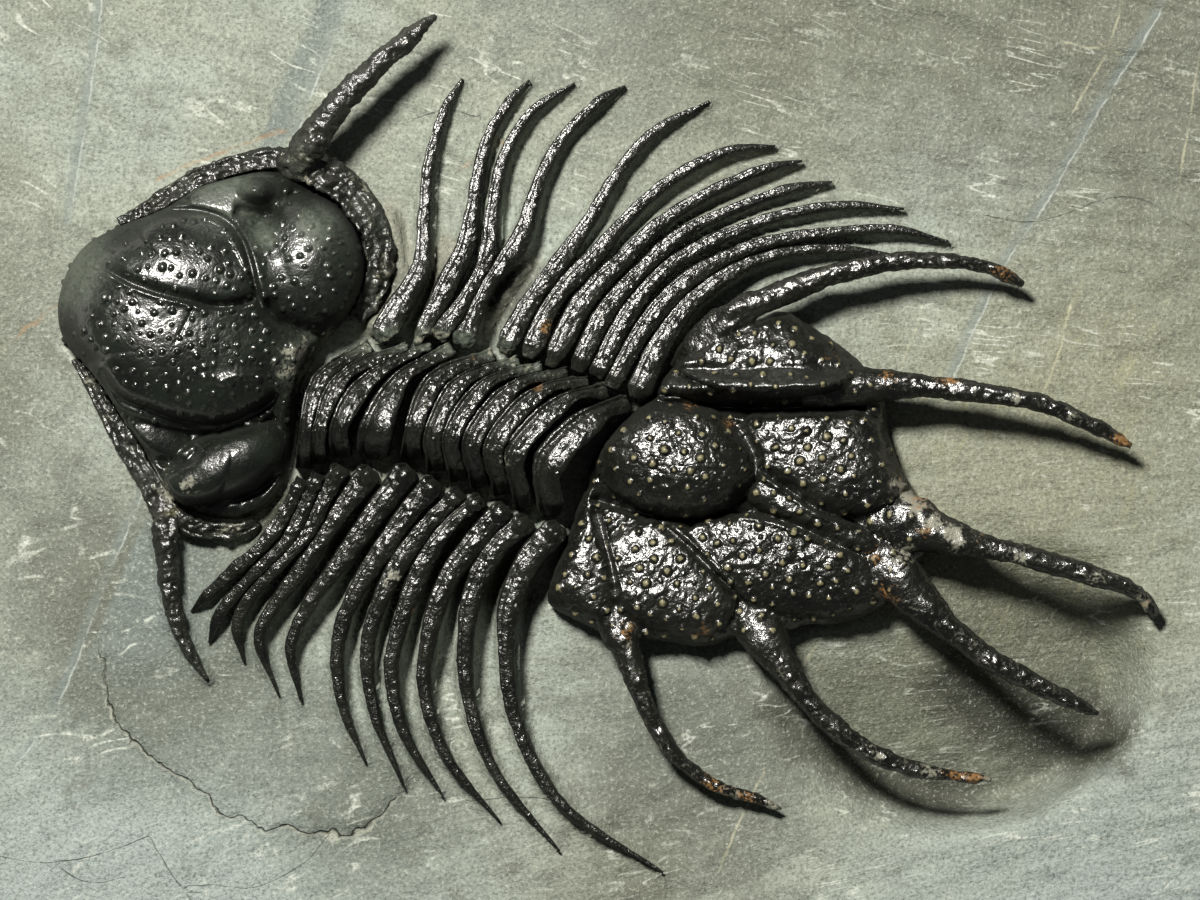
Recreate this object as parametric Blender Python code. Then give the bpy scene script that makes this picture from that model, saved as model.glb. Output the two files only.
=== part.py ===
"""A spiny trilobite of the genus Acanthopyge, prepared free of its limestone but still on its slab.

Frame: the sawn base of the slab is z = 0 and its middle is the origin, +X runs from the
animal's head to its tail, +Y to its left side and +Z up. All sizes here are millimetres.
Every hard piece of the animal is one solid: the middle of the head shield, the two free
cheeks, eleven thorax segments and the tail shield, above the slab that carries them.
"""

import math

import bmesh
import bpy
import numpy as np

MM = 0.001

# Slab
SLAB_THICKNESS = 18.0
SLAB_OUTLINE = [
    (48.0, -8.0), (47.2, 14.0), (44.6, 29.0), (37.0, 35.6), (12.0, 37.5), (-15.0, 36.4),
    (-36.0, 36.9), (-45.4, 30.5), (-48.0, 6.0), (-46.4, -20.0), (-43.8, -32.0),
    (-30.0, -36.7), (2.0, -37.5), (31.0, -35.9), (43.8, -32.4), (46.8, -22.0),
]
SLAB_CELLS = (26, 20)
SLAB_EDGE_CHIP = 0.9
SLAB_WALL_LEVELS = [(0.985, 1.0), (1.0, 0.86), (0.992, 0.45), (0.986, 0.0)]
HOLLOW_CENTRE = (22.0, -14.4)
HOLLOW_RADII = (15.6, 11.8)
HOLLOW_SLOPE = 0.38
HOLLOW_SHORE = 0.3
HOLLOW_STEEP_WAY = (0.75, -0.66)
HOLLOW_FLOOR_SHARES = (0.15, 0.78)

# Air left between pieces that lie against each other
CLEAR = 0.3
SEGMENT_GAP = 0.12

# Thorax: for each segment the left spine from its root to its tip, the axial ring from
# left to right, and the right spine from its root to its tip, all seen from above
THORAX = [
    ([(-14.5, 7.8), (-13.1, 9.9), (-11.9, 12.2), (-11.7, 15.5), (-11.3, 19.5), (-10.2, 23.0),
      (-9.2, 24.8)],
     [(-15.3, 7.0), (-18.5, 4.8), (-19.5, 1.7), (-19.8, -1.2)],
     [(-20.0, -2.3), (-20.8, -3.9), (-22.4, -6.3), (-24.2, -7.9), (-25.8, -9.3), (-27.3, -10.8)]),
    ([(-11.9, 7.7), (-10.3, 10.7), (-8.9, 13.7), (-8.3, 17.0), (-7.5, 20.7), (-6.0, 23.3), (-4.7, 24.7)],
     [(-12.9, 6.9), (-17.0, 4.9), (-18.6, 1.6), (-18.8, -0.9)],
     [(-18.9, -2.0), (-19.7, -3.9), (-20.9, -6.1), (-22.6, -7.8), (-24.2, -9.5), (-25.5, -11.2),
      (-26.1, -12.9)]),
    ([(-10.5, 7.9), (-9.0, 10.0), (-7.5, 13.0), (-7.1, 16.3), (-6.3, 19.7), (-4.5, 22.6), (-1.7, 24.5)],
     [(-11.4, 7.0), (-15.3, 4.7), (-17.3, 1.5), (-17.3, -0.5)],
     [(-17.4, -1.5), (-18.3, -3.2), (-19.5, -5.6), (-21.5, -7.9), (-23.2, -9.6), (-24.2, -11.7),
      (-23.8, -14.1)]),
    ([(-8.9, 7.7), (-7.4, 11.0), (-5.3, 14.0), (-4.2, 17.3), (-2.7, 20.5), (0.0, 23.3), (1.7, 24.3)],
     [(-9.9, 6.8), (-13.2, 4.7), (-14.9, 1.3), (-15.2, -0.6)],
     [(-15.4, -1.6), (-16.5, -3.1), (-18.1, -5.4), (-19.6, -7.6), (-21.3, -9.8), (-22.7, -12.4),
      (-21.5, -16.3)]),
    ([(-6.1, 7.2), (-4.7, 9.7), (-2.7, 12.5), (-0.7, 15.3), (1.2, 18.5), (3.7, 21.3), (7.3, 23.3)],
     [(-7.1, 6.4), (-10.9, 4.7), (-12.4, 1.2), (-12.6, -0.6)],
     [(-12.9, -1.5), (-14.1, -3.1), (-16.0, -5.7), (-17.6, -7.9), (-19.3, -10.2), (-20.6, -13.0),
      (-20.0, -16.7)]),
    ([(-4.5, 6.8), (-3.0, 10.0), (-0.4, 12.8), (1.7, 15.3), (4.7, 18.0), (8.7, 20.0), (11.7, 20.3)],
     [(-5.4, 6.0), (-9.2, 4.5), (-11.1, 1.0), (-10.9, -1.4)],
     [(-11.2, -2.4), (-12.7, -4.1), (-14.5, -6.7), (-16.2, -9.4), (-17.4, -12.6), (-17.3, -16.6),
      (-15.7, -20.8)]),
    ([(-2.9, 6.4), (-1.0, 10.0), (1.5, 12.6), (4.3, 15.3), (8.0, 17.5), (11.5, 18.9), (13.5, 19.3)],
     [(-3.9, 5.6), (-7.5, 4.4), (-9.9, 0.7), (-9.4, -2.0)],
     [(-9.6, -3.1), (-11.3, -4.8), (-13.1, -7.2), (-14.7, -10.2), (-15.5, -13.3), (-15.1, -17.3),
      (-13.1, -22.5)]),
    ([(-1.2, 6.0), (0.4, 9.2), (2.8, 12.0), (5.5, 14.4), (9.3, 16.2), (13.0, 17.5), (15.5, 17.9)],
     [(-2.2, 5.2), (-5.5, 4.3), (-8.5, 0.5), (-8.0, -2.5)],
     [(-8.2, -3.5), (-9.9, -4.9), (-11.7, -7.6), (-13.1, -11.0), (-13.9, -14.5), (-13.1, -18.8),
      (-10.5, -23.1)]),
    ([(0.0, 5.4), (1.3, 8.0), (3.9, 11.6), (6.7, 13.5), (11.3, 15.4), (16.0, 16.3), (20.3, 16.1)],
     [(-0.8, 4.6), (-3.7, 4.0), (-7.1, 0.2), (-6.5, -3.0)],
     [(-6.6, -4.1), (-8.2, -5.9), (-10.1, -8.6), (-11.3, -12.0), (-11.7, -15.6), (-10.4, -20.2),
      (-6.7, -24.8)]),
    ([(1.1, 4.8), (2.7, 7.8), (5.5, 11.0), (8.0, 12.6), (11.0, 13.8), (15.3, 14.5), (19.8, 14.7),
      (23.3, 13.9)],
     [(0.5, 4.0), (-1.9, 3.5), (-5.6, -0.2), (-5.1, -3.9)],
     [(-5.1, -4.9), (-6.7, -6.4), (-8.2, -8.8), (-8.9, -12.2), (-8.8, -16.3), (-7.0, -21.5),
      (-2.7, -26.8)]),
    ([(2.7, 4.1), (3.9, 6.8), (6.3, 10.0), (9.3, 12.1), (12.2, 13.1), (15.8, 13.4), (19.3, 13.1)],
     [(1.9, 3.2), (0.0, 2.4), (-3.4, -1.0), (-3.3, -4.4)],
     [(-3.0, -5.4), (-4.6, -7.2), (-6.0, -10.2), (-6.2, -13.7), (-5.6, -18.0), (-2.6, -23.6),
      (4.2, -28.2)]),
]
RING_TOPS = [3.3, 4.9, 5.7, 3.4]
RING_HALF_WIDTHS = [0.75, 0.8, 0.8, 0.75]
LAST_RING_HALF_WIDTH = 1.15
SPINE_STATIONS = [0.0, 0.15, 0.33, 0.5, 0.85, 1.0]
SPINE_HALF_WIDTHS = [0.87, 0.8, 0.64, 0.5, 0.36, 0.14]
LEFT_SPINE_TOPS = [3.8, 3.5, 2.8, 2.2, 1.3, 0.8]
RIGHT_SPINE_TOPS = [3.8, 3.6, 3.2, 2.8, 1.7, 0.8]
SPINE_THICKNESS_RATIO = 1.8
SECTION_ANGLES = [0, 60, 120, 180, 240, 300]
SEGMENT_SPANS = 2
FINE_SPANS = 10

# Middle of the head shield: outline seen from above, and its swellings as
# (x, y, half length, half width, turn in degrees, height above the rock)
HEAD_CENTRE = (-26.3, 7.5)
HEAD_OUTLINE = [
    (-36.2, 9.3), (-35.7, 11.6), (-34.4, 13.4), (-32.1, 14.6), (-29.2, 15.7), (-27.8, 16.5),
    (-26.6, 17.1), (-24.4, 17.8), (-22.4, 18.1), (-20.9, 17.9), (-19.3, 16.9), (-17.6, 15.7),
    (-16.4, 13.9), (-16.1, 11.6), (-17.0, 9.5), (-18.5, 7.4), (-19.6, 5.5), (-20.3, 3.6),
    (-20.5, 1.6), (-20.8, -0.3), (-21.3, -2.0), (-22.2, -3.4), (-23.5, -4.1), (-25.1, -4.2),
    (-26.6, -3.9), (-27.9, -3.1), (-28.8, -1.8), (-29.7, -0.3), (-30.7, 1.2), (-31.9, 3.0),
    (-33.0, 4.6), (-34.3, 6.0), (-35.7, 7.4),
]
HEAD_LOBES = [
    (-27.6, 7.5, 8.4, 6.2, -14.0, 8.4),
    (-27.4, 11.5, 8.4, 4.8, -8.0, 8.0),
    (-29.6, 9.0, 7.4, 7.3, -14.0, 6.9),
    (-19.5, 12.2, 4.1, 5.0, 0.0, 6.8),
    (-20.0, 4.4, 2.2, 5.2, 12.0, 6.2),
    (-24.7, -0.9, 4.8, 2.5, 24.0, 5.6),
    (-27.6, -2.4, 2.6, 1.5, 20.0, 4.4),
    (-30.2, 1.2, 3.6, 2.2, -42.0, 3.9),
    (-22.9, 17.2, 1.4, 1.0, -8.0, 6.0),
]
HEAD_FLOOR = 2.4

# Free cheeks: a rim band and a genal spine each, as (x, y, top, half width)
LEFT_RIM = [
    (-32.1, 15.25, 1.4, 0.25), (-30.3, 16.1, 2.0, 0.45), (-28.7, 17.05, 2.3, 0.6),
    (-27.0, 18.05, 2.6, 0.62), (-24.9, 18.85, 2.8, 0.7), (-22.9, 19.35, 3.0, 0.85),
    (-20.8, 19.4, 3.2, 1.05), (-18.7, 18.6, 3.2, 1.25), (-16.8, 17.2, 3.1, 1.25),
    (-15.4, 15.3, 3.0, 1.2), (-14.8, 13.6, 2.9, 1.15), (-14.75, 11.9, 2.7, 1.0),
    (-15.4, 10.2, 2.4, 0.8), (-16.3, 8.8, 2.0, 0.45),
]
LEFT_GENAL = [
    (-20.5, 18.9, 3.7, 0.9), (-19.8, 19.9, 4.6, 1.0), (-18.4, 21.7, 5.2, 0.95),
    (-16.6, 23.8, 5.4, 0.82), (-14.3, 26.0, 5.1, 0.7), (-12.0, 28.1, 4.6, 0.52),
    (-10.9, 28.9, 4.1, 0.2),
]
RIGHT_RIM = [
    (-35.1, 6.0, 1.2, 0.2), (-34.1, 4.3, 1.6, 0.5), (-33.0, 2.6, 1.9, 0.7), (-31.8, 0.7, 2.1, 0.85),
    (-30.8, -1.0, 2.3, 0.95), (-29.9, -2.5, 2.4, 0.95), (-29.0, -4.1, 2.5, 1.0),
    (-27.4, -5.0, 2.4, 0.8), (-25.6, -5.3, 2.3, 0.65), (-24.0, -5.2, 2.1, 0.55), (-22.9, -4.7, 1.8, 0.25),
]
RIGHT_GENAL = [
    (-29.2, -3.4, 2.2, 0.8), (-29.0, -5.0, 2.8, 0.85), (-28.8, -8.0, 2.6, 0.72),
    (-28.5, -10.2, 2.2, 0.6), (-27.9, -12.3, 1.8, 0.48), (-27.1, -13.9, 1.4, 0.36),
    (-26.2, -15.3, 1.0, 0.15),
]

# Tail shield, laid out as the head is
TAIL_CENTRE = (8.6, -2.4)
TAIL_OUTLINE = [
    (3.8, 3.6), (4.8, 5.4), (6.7, 6.9), (9.3, 8.2), (12.3, 9.2), (15.0, 7.6), (17.8, 5.3),
    (18.8, 3.2), (19.3, 0.7), (20.3, -2.0), (21.7, -4.0), (21.9, -6.3), (20.5, -8.7),
    (18.7, -10.5), (16.0, -11.5), (13.3, -11.8), (11.0, -12.7), (9.3, -12.5), (6.7, -13.0),
    (3.3, -12.6), (1.3, -12.7), (0.0, -12.1), (-1.8, -11.2), (-3.4, -10.1), (-3.0, -8.2),
    (-1.7, -6.3), (-0.7, -4.4), (-0.5, -2.7), (-0.1, -1.0), (0.8, 0.4), (2.3, 1.7),
]
TAIL_LOBES = [
    (4.9, -0.5, 5.6, 4.0, -15.0, 6.6),
    (10.4, 6.2, 6.4, 2.5, -8.0, 4.9),
    (13.1, 6.9, 3.6, 2.0, -36.0, 4.8),
    (11.8, 4.2, 7.8, 1.0, 0.0, 5.2),
    (14.8, -0.5, 5.9, 3.8, -15.0, 4.9),
    (13.8, -4.4, 6.0, 1.3, -27.0, 4.6),
    (-1.4, -7.5, 2.4, 4.2, 14.0, 3.9),
    (4.6, -8.6, 4.9, 3.6, -30.0, 4.4),
    (12.2, -7.7, 6.9, 3.3, -14.0, 4.7),
]
TAIL_FLOOR = 3.0
TAIL_MARGIN_LIFT = 1.0

# Tail spines as (x, y, height of the middle, radius), right side front to back, then left
TAIL_SPINES = {
    "right_front": [
        (0.9, -10.4, 2.7, 0.95), (1.5, -12.2, 3.0, 0.95), (2.1, -14.7, 2.9, 0.69),
        (3.2, -17.2, 2.6, 0.6), (5.0, -20.4, 2.2, 0.54), (7.3, -22.2, 1.7, 0.47),
        (9.9, -23.1, 1.3, 0.39), (12.0, -23.9, 1.0, 0.25)],
    "right_middle": [
        (10.2, -10.4, 2.7, 1.15), (11.0, -12.3, 3.1, 1.15), (12.3, -14.4, 3.2, 0.86),
        (14.0, -16.8, 3.0, 0.76), (16.6, -19.2, 2.7, 0.69), (20.0, -21.0, 2.2, 0.6),
        (23.2, -21.6, 1.7, 0.5), (26.0, -22.0, 1.3, 0.28)],
    "right_rear": [
        (18.6, -7.4, 2.7, 1.3), (20.3, -8.8, 3.2, 1.3), (22.0, -10.7, 3.4, 0.95),
        (24.0, -12.6, 3.3, 0.82), (26.7, -14.4, 3.1, 0.73), (29.3, -15.7, 2.8, 0.65),
        (31.7, -16.8, 2.4, 0.53), (33.1, -17.5, 2.1, 0.28)],
    "left_rear": [
        (19.6, -4.6, 2.8, 1.4), (21.4, -5.2, 3.3, 1.4), (23.2, -5.8, 3.5, 0.99),
        (26.0, -6.5, 3.4, 0.82), (29.3, -7.3, 3.3, 0.73), (32.3, -8.2, 3.2, 0.67),
        (35.0, -9.1, 2.9, 0.58), (36.4, -9.9, 2.4, 0.47), (36.8, -10.9, 1.7, 0.28)],
    "left_middle": [
        (15.4, 4.1, 2.6, 1.0), (18.2, 4.1, 3.4, 1.0), (20.6, 4.2, 3.9, 0.79),
        (23.6, 4.1, 4.2, 0.73), (27.3, 3.5, 4.4, 0.67), (30.0, 2.9, 4.3, 0.62),
        (32.3, 1.9, 3.9, 0.56), (35.2, 0.3, 3.2, 0.28)],
    "left_front": [
        (6.4, 6.2, 2.6, 0.9), (7.6, 7.9, 3.1, 0.95), (9.6, 9.3, 3.4, 0.86),
        (12.2, 10.5, 3.5, 0.82), (15.2, 11.6, 3.5, 0.73), (18.8, 12.4, 3.5, 0.65),
        (22.4, 12.6, 3.3, 0.6), (25.4, 12.3, 2.9, 0.53), (28.0, 11.2, 2.4, 0.28)],
}
TAIL_SPINE_ANGLES = [22.5 + 45 * step for step in range(8)]

PLATE_SPOKES = 56
PLATE_RINGS = [0.0, 0.16, 0.32, 0.47, 0.6, 0.72, 0.82, 0.9, 0.96, 1.0]
PLATE_RIM_HEIGHT = 0.5
PLATE_EDGE_SHARPNESS = 8
PLATE_UNDERSIDE_SHARE = 0.78
LOBE_FULLNESS = 0.42
CURVE_SPANS = 6
BAR_SPANS = 2
PARALLEL = 1e-9

# Colours as linear red, green and blue, each with its roughness
LIMESTONE = ((0.40, 0.42, 0.34), 0.8)
HEAD_CUTICLE = ((0.036, 0.040, 0.034), 0.3)
CHEEK_CUTICLE = ((0.032, 0.034, 0.028), 0.25)
THORAX_CUTICLE = ((0.030, 0.030, 0.024), 0.25)
TAIL_CUTICLE = ((0.024, 0.024, 0.018), 0.2)


def clear_scene():
    for item in list(bpy.data.objects):
        bpy.data.objects.remove(item, do_unlink=True)


def make_material(name, colour, roughness):
    material = bpy.data.materials.new(name)
    material.use_nodes = True
    shader = material.node_tree.nodes["Principled BSDF"]
    shader.inputs["Base Color"].default_value = (*colour, 1.0)
    shader.inputs["Roughness"].default_value = roughness
    shader.inputs["Metallic"].default_value = 0.0
    return material


def make_object(name, points, faces, look):
    """Turn points in millimetres and faces into an object with its own material."""
    mesh = bpy.data.meshes.new(name)
    mesh.from_pydata([tuple(c * MM for c in point) for point in points], [], faces)
    work = bmesh.new()
    work.from_mesh(mesh)
    bmesh.ops.triangulate(work, faces=work.faces)
    bmesh.ops.recalc_face_normals(work, faces=work.faces)
    work.to_mesh(mesh)
    work.free()
    mesh.materials.append(make_material(name, *look))
    mesh.shade_smooth()
    item = bpy.data.objects.new(name, mesh)
    bpy.context.scene.collection.objects.link(item)
    return item


def smooth_route(stations, steps):
    """Points on a smooth curve through the stations, with steps[k] spans after station k."""
    rows = np.array(stations, dtype=float)
    rows = np.vstack([2 * rows[0] - rows[1], rows, 2 * rows[-1] - rows[-2]])
    route = []
    for k, spans in enumerate(steps):
        before, start, end, after = rows[k:k + 4]
        lead, span, trail = (
            math.dist(a[:2], b[:2]) ** 0.5 for a, b in ((before, start), (start, end), (end, after)))
        leave = span * ((start - before) / lead - (end - before) / (lead + span) + (end - start) / span)
        reach = span * ((end - start) / span - (after - start) / (span + trail) + (after - end) / trail)
        for t in np.arange(spans) / spans:
            route.append(
                (2 * t**3 - 3 * t**2 + 1) * start + (t**3 - 2 * t**2 + t) * leave
                + (3 * t**2 - 2 * t**3) * end + (t**3 - t**2) * reach)
    route.append(rows[-2])
    return np.array(route)


def plan_normals(route):
    """Unit vectors across a route, level with the ground."""
    along = np.gradient(route[:, :2], axis=0)
    along /= np.linalg.norm(along, axis=1)[:, None]
    return np.stack([-along[:, 1], along[:, 0]], axis=1)


def bar_mesh(route, angles):
    """A round-topped bar along rows of (x, y, top, half width, bottom), closed at both ends."""
    across = plan_normals(route)
    points, faces = [], []
    for (x, y, top, half, bottom), (nx, ny) in zip(route, across):
        radius = min(half, (top - bottom) / 2)
        for angle in angles:
            side = half * math.cos(math.radians(angle))
            rise = radius * math.sin(math.radians(angle))
            level = top - radius + rise if angle <= 180 else bottom + radius + rise
            points.append((x + nx * side, y + ny * side, level))
    count = len(angles)
    for row in range(len(route) - 1):
        for k in range(count):
            a, b = row * count + k, row * count + (k + 1) % count
            faces.append((a, b, b + count, a + count))
    faces.append(tuple(range(count)))
    faces.append(tuple(range(len(points) - count, len(points))))
    return points, faces


def spaced_from(route, neighbours):
    """The route with its half widths cut back to leave the gap to each neighbour."""
    cut = route.copy()
    for other in neighbours:
        steps = np.linalg.norm(cut[:, None, :2] - other[None, :, :2], axis=2).min(axis=1)
        cut[:, 3] = np.minimum(cut[:, 3], (steps - SEGMENT_GAP) / 2)
    return cut


def spine_rows(points, tops_at_stations):
    """Rows of (x, y, top, half width, bottom) for a thorax spine, from root to tip."""
    share = np.linspace(0, 1, len(points))
    tops = np.interp(share, SPINE_STATIONS, tops_at_stations)
    halves = np.interp(share, SPINE_STATIONS, SPINE_HALF_WIDTHS)
    floors = np.maximum(CLEAR, tops - SPINE_THICKNESS_RATIO * halves)
    floors[0] = CLEAR
    return [(x, y, *rest) for (x, y), *rest in zip(points, tops, halves, floors)]


def segment_rows(left, ring, right, ring_halves):
    rings = [(x, y, top, half, CLEAR) for (x, y), top, half in zip(ring, RING_TOPS, ring_halves)]
    return spine_rows(left, LEFT_SPINE_TOPS)[::-1] + rings + spine_rows(right, RIGHT_SPINE_TOPS)


def build_thorax():
    routes, fine_routes = [], []
    for number, (left, ring, right) in enumerate(THORAX, start=1):
        halves = list(RING_HALF_WIDTHS)
        if number == len(THORAX):
            halves[1:3] = [LAST_RING_HALF_WIDTH] * 2
        rows = segment_rows(left, ring, right, halves)
        routes.append(smooth_route(rows, [SEGMENT_SPANS] * (len(rows) - 1)))
        fine_routes.append(smooth_route(rows, [FINE_SPANS] * (len(rows) - 1)))
    for index, route in enumerate(routes):
        neighbours = [fine_routes[k] for k in (index - 1, index + 1) if 0 <= k < len(routes)]
        points, faces = bar_mesh(spaced_from(route, neighbours), SECTION_ANGLES)
        make_object(f"thoracic_segment_{index + 1:02d}", raise_all(points), faces, THORAX_CUTICLE)


def lobe_height(x, y, lobes, floor):
    """Height of the highest of the swellings at a place, each a dome on the floor."""
    height = floor
    for cx, cy, length, width, turn, top in lobes:
        angle = math.radians(turn)
        u = ((x - cx) * math.cos(angle) + (y - cy) * math.sin(angle)) / length
        v = ((y - cy) * math.cos(angle) - (x - cx) * math.sin(angle)) / width
        reach = 1 - (u * u + v * v)
        if reach > 0:
            height = max(height, floor + (top - floor) * reach**LOBE_FULLNESS)
    return height


def outline_reach(outline, centre, angle):
    """Distance from the centre to the outline in one direction."""
    dx, dy = math.cos(angle), math.sin(angle)
    best = 0.0
    for (ax, ay), (bx, by) in zip(outline, outline[1:] + outline[:1]):
        ax, ay, bx, by = ax - centre[0], ay - centre[1], bx - centre[0], by - centre[1]
        ex, ey = bx - ax, by - ay
        cross = dx * ey - dy * ex
        if abs(cross) < PARALLEL:
            continue
        distance = (ax * ey - ay * ex) / cross
        share = (ax * dy - ay * dx) / cross
        if distance > 0 and 0 <= share <= 1:
            best = max(best, distance)
    return best


def closed_curve(outline):
    """A smooth closed line through the outline's points."""
    looped = [outline[-1]] + outline + outline[:2]
    fine = smooth_route(looped, [CURVE_SPANS] * (len(looped) - 1))
    return [tuple(point) for point in fine[CURVE_SPANS:-CURVE_SPANS - 1]]


def plate_mesh(outline, centre, height_at, rim_floor):
    """A domed plate over a closed outline, seen from above, with its underside nearly flat."""
    curve = closed_curve(outline)
    spokes = [2 * math.pi * k / PLATE_SPOKES for k in range(PLATE_SPOKES)]
    reaches = [outline_reach(curve, centre, angle) for angle in spokes]
    points, faces = [(*centre, height_at(*centre))], []

    def add_ring(share, level_at):
        for angle, reach in zip(spokes, reaches):
            x = centre[0] + share * reach * math.cos(angle)
            y = centre[1] + share * reach * math.sin(angle)
            points.append((x, y, level_at(x, y, share)))

    def top_level(x, y, share):
        roll = (1 - share**PLATE_EDGE_SHARPNESS) ** 0.5
        rim_top = rim_floor + PLATE_RIM_HEIGHT
        return rim_top + (height_at(x, y) - rim_top) * roll

    for share in PLATE_RINGS[1:]:
        add_ring(share, top_level)
    add_ring(1.0, lambda x, y, share: rim_floor)
    add_ring(PLATE_UNDERSIDE_SHARE, lambda x, y, share: CLEAR)
    points.append((*centre, CLEAR))
    rings = (len(points) - 2) // PLATE_SPOKES
    for k in range(PLATE_SPOKES):
        after = (k + 1) % PLATE_SPOKES
        faces.append((0, 1 + k, 1 + after))
        for ring in range(rings - 1):
            a = 1 + ring * PLATE_SPOKES
            faces.append((a + k, a + k + PLATE_SPOKES, a + after + PLATE_SPOKES, a + after))
        last = 1 + (rings - 1) * PLATE_SPOKES
        faces.append((last + after, last + k, len(points) - 1))
    return points, faces


def rock_depth(x, y):
    """How far the rock lies below its level under the animal: it falls away from the tail to a steep wall."""
    dx, dy = x - HOLLOW_CENTRE[0], y - HOLLOW_CENTRE[1]
    reach = math.hypot(dx / HOLLOW_RADII[0], dy / HOLLOW_RADII[1])
    away = max(math.hypot(dx, dy), PARALLEL)
    steep = 0.5 + 0.5 * (dx * HOLLOW_STEEP_WAY[0] + dy * HOLLOW_STEEP_WAY[1]) / away
    floor_share = HOLLOW_FLOOR_SHARES[0] + (HOLLOW_FLOOR_SHARES[1] - HOLLOW_FLOOR_SHARES[0]) * steep
    share = min(1.0, max(0.0, (1 - reach) / (1 - floor_share)))
    dx, dy = x - TAIL_CENTRE[0], y - TAIL_CENTRE[1]
    beyond = math.hypot(dx, dy) - outline_reach(TAIL_OUTLINE, TAIL_CENTRE, math.atan2(dy, dx))
    return HOLLOW_SLOPE * max(0.0, beyond - HOLLOW_SHORE) * share * share * (3 - 2 * share)


def raise_all(points):
    """Heights above the rock become heights above the slab's base."""
    return [(x, y, z + SLAB_THICKNESS) for x, y, z in points]


def round_bar_rows(stations):
    """Rows of (x, y, top, half width, bottom) from rows of (x, y, middle height, radius)."""
    return [(x, y, middle + radius, radius, middle - radius) for x, y, middle, radius in stations]


def rim_rows(stations):
    return [(x, y, top, half, CLEAR) for x, y, top, half in stations]


def genal_rows(stations):
    """Rows of (x, y, top, half width, bottom) for a round spine given by its top."""
    return [(x, y, top, half, max(CLEAR, top - 2 * half)) for x, y, top, half in stations]


def fuse(base, added):
    """Join another solid to the base with a Boolean that stays on it."""
    added.display_type = "WIRE"
    added.hide_render = True
    union = base.modifiers.new("Join " + added.name, "BOOLEAN")
    union.operation = "UNION"
    union.object = added


def build_bar(name, rows, angles, look):
    points, faces = bar_mesh(smooth_route(rows, [BAR_SPANS] * (len(rows) - 1)), angles)
    return make_object(name, raise_all(points), faces, look)


def build_head():
    def head_height(x, y):
        return lobe_height(x, y, HEAD_LOBES, HEAD_FLOOR)

    points, faces = plate_mesh(HEAD_OUTLINE, HEAD_CENTRE, head_height, CLEAR)
    make_object("cranidium", raise_all(points), faces, HEAD_CUTICLE)


def build_cheek(side, rim, genal):
    cheek = build_bar(f"free_cheek_{side}", rim_rows(rim), SECTION_ANGLES, CHEEK_CUTICLE)
    fuse(cheek, build_bar(f"genal_spine_{side}", genal_rows(genal), TAIL_SPINE_ANGLES, CHEEK_CUTICLE))


def build_tail():
    def tail_height(x, y):
        return lobe_height(x, y, TAIL_LOBES, TAIL_FLOOR)

    points, faces = plate_mesh(TAIL_OUTLINE, TAIL_CENTRE, tail_height, TAIL_MARGIN_LIFT)
    tail = make_object("pygidium", raise_all(points), faces, TAIL_CUTICLE)
    for place, stations in TAIL_SPINES.items():
        rows = round_bar_rows(stations)
        fuse(tail, build_bar(f"tail_spine_{place}", rows, TAIL_SPINE_ANGLES, TAIL_CUTICLE))


def slab_reach(angle):
    return outline_reach(SLAB_OUTLINE, (0.0, 0.0), angle)


def build_slab():
    columns, rows = SLAB_CELLS
    points, faces, index = [], [], {}

    def place(i, j):
        """Where a grid corner lies once the square grid is stretched to the outline."""
        u, v = 2 * i / columns - 1, 2 * j / rows - 1
        ring = max(abs(u), abs(v))
        if ring == 0:
            return 0.0, 0.0, 0.0
        angle = math.atan2(v * rows, u * columns)
        reach = slab_reach(angle) * ring
        return reach * math.cos(angle), reach * math.sin(angle), ring

    chip_share = SLAB_WALL_LEVELS[0][0]
    for i in range(columns + 1):
        for j in range(rows + 1):
            x, y, ring = place(i, j)
            top = SLAB_THICKNESS - rock_depth(x, y) - (SLAB_EDGE_CHIP if ring == 1 else 0.0)
            index[i, j] = len(points)
            points.append((x * chip_share, y * chip_share, top))
    for i in range(columns):
        for j in range(rows):
            faces.append((index[i, j], index[i + 1, j], index[i + 1, j + 1], index[i, j + 1]))

    rim = [(i, 0) for i in range(columns)] + [(columns, j) for j in range(rows)]
    rim += [(columns - i, rows) for i in range(columns)] + [(0, rows - j) for j in range(rows)]
    above = [index[corner] for corner in rim]
    for share, level in SLAB_WALL_LEVELS[1:]:
        below = []
        for corner in rim:
            x, y, _ = place(*corner)
            below.append(len(points))
            points.append((x * share, y * share, SLAB_THICKNESS * level))
        for k in range(len(rim)):
            after = (k + 1) % len(rim)
            faces.append((above[k], above[after], below[after], below[k]))
        above = below
    points.append((0.0, 0.0, 0.0))
    for k in range(len(rim)):
        faces.append((above[k], above[(k + 1) % len(rim)], len(points) - 1))
    make_object("matrix", points, faces, LIMESTONE)


clear_scene()
build_slab()
build_head()
build_cheek("left", LEFT_RIM, LEFT_GENAL)
build_cheek("right", RIGHT_RIM, RIGHT_GENAL)
build_thorax()
build_tail()
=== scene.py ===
"""A prepared Acanthopyge trilobite on its limestone slab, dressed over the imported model.

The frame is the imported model's: the sawn base of the slab is z = 0, +X runs from the animal's
head to its tail and +Y to its left side. Sizes are in millimetres until a mesh is made.
"""

import itertools
import math

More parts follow.
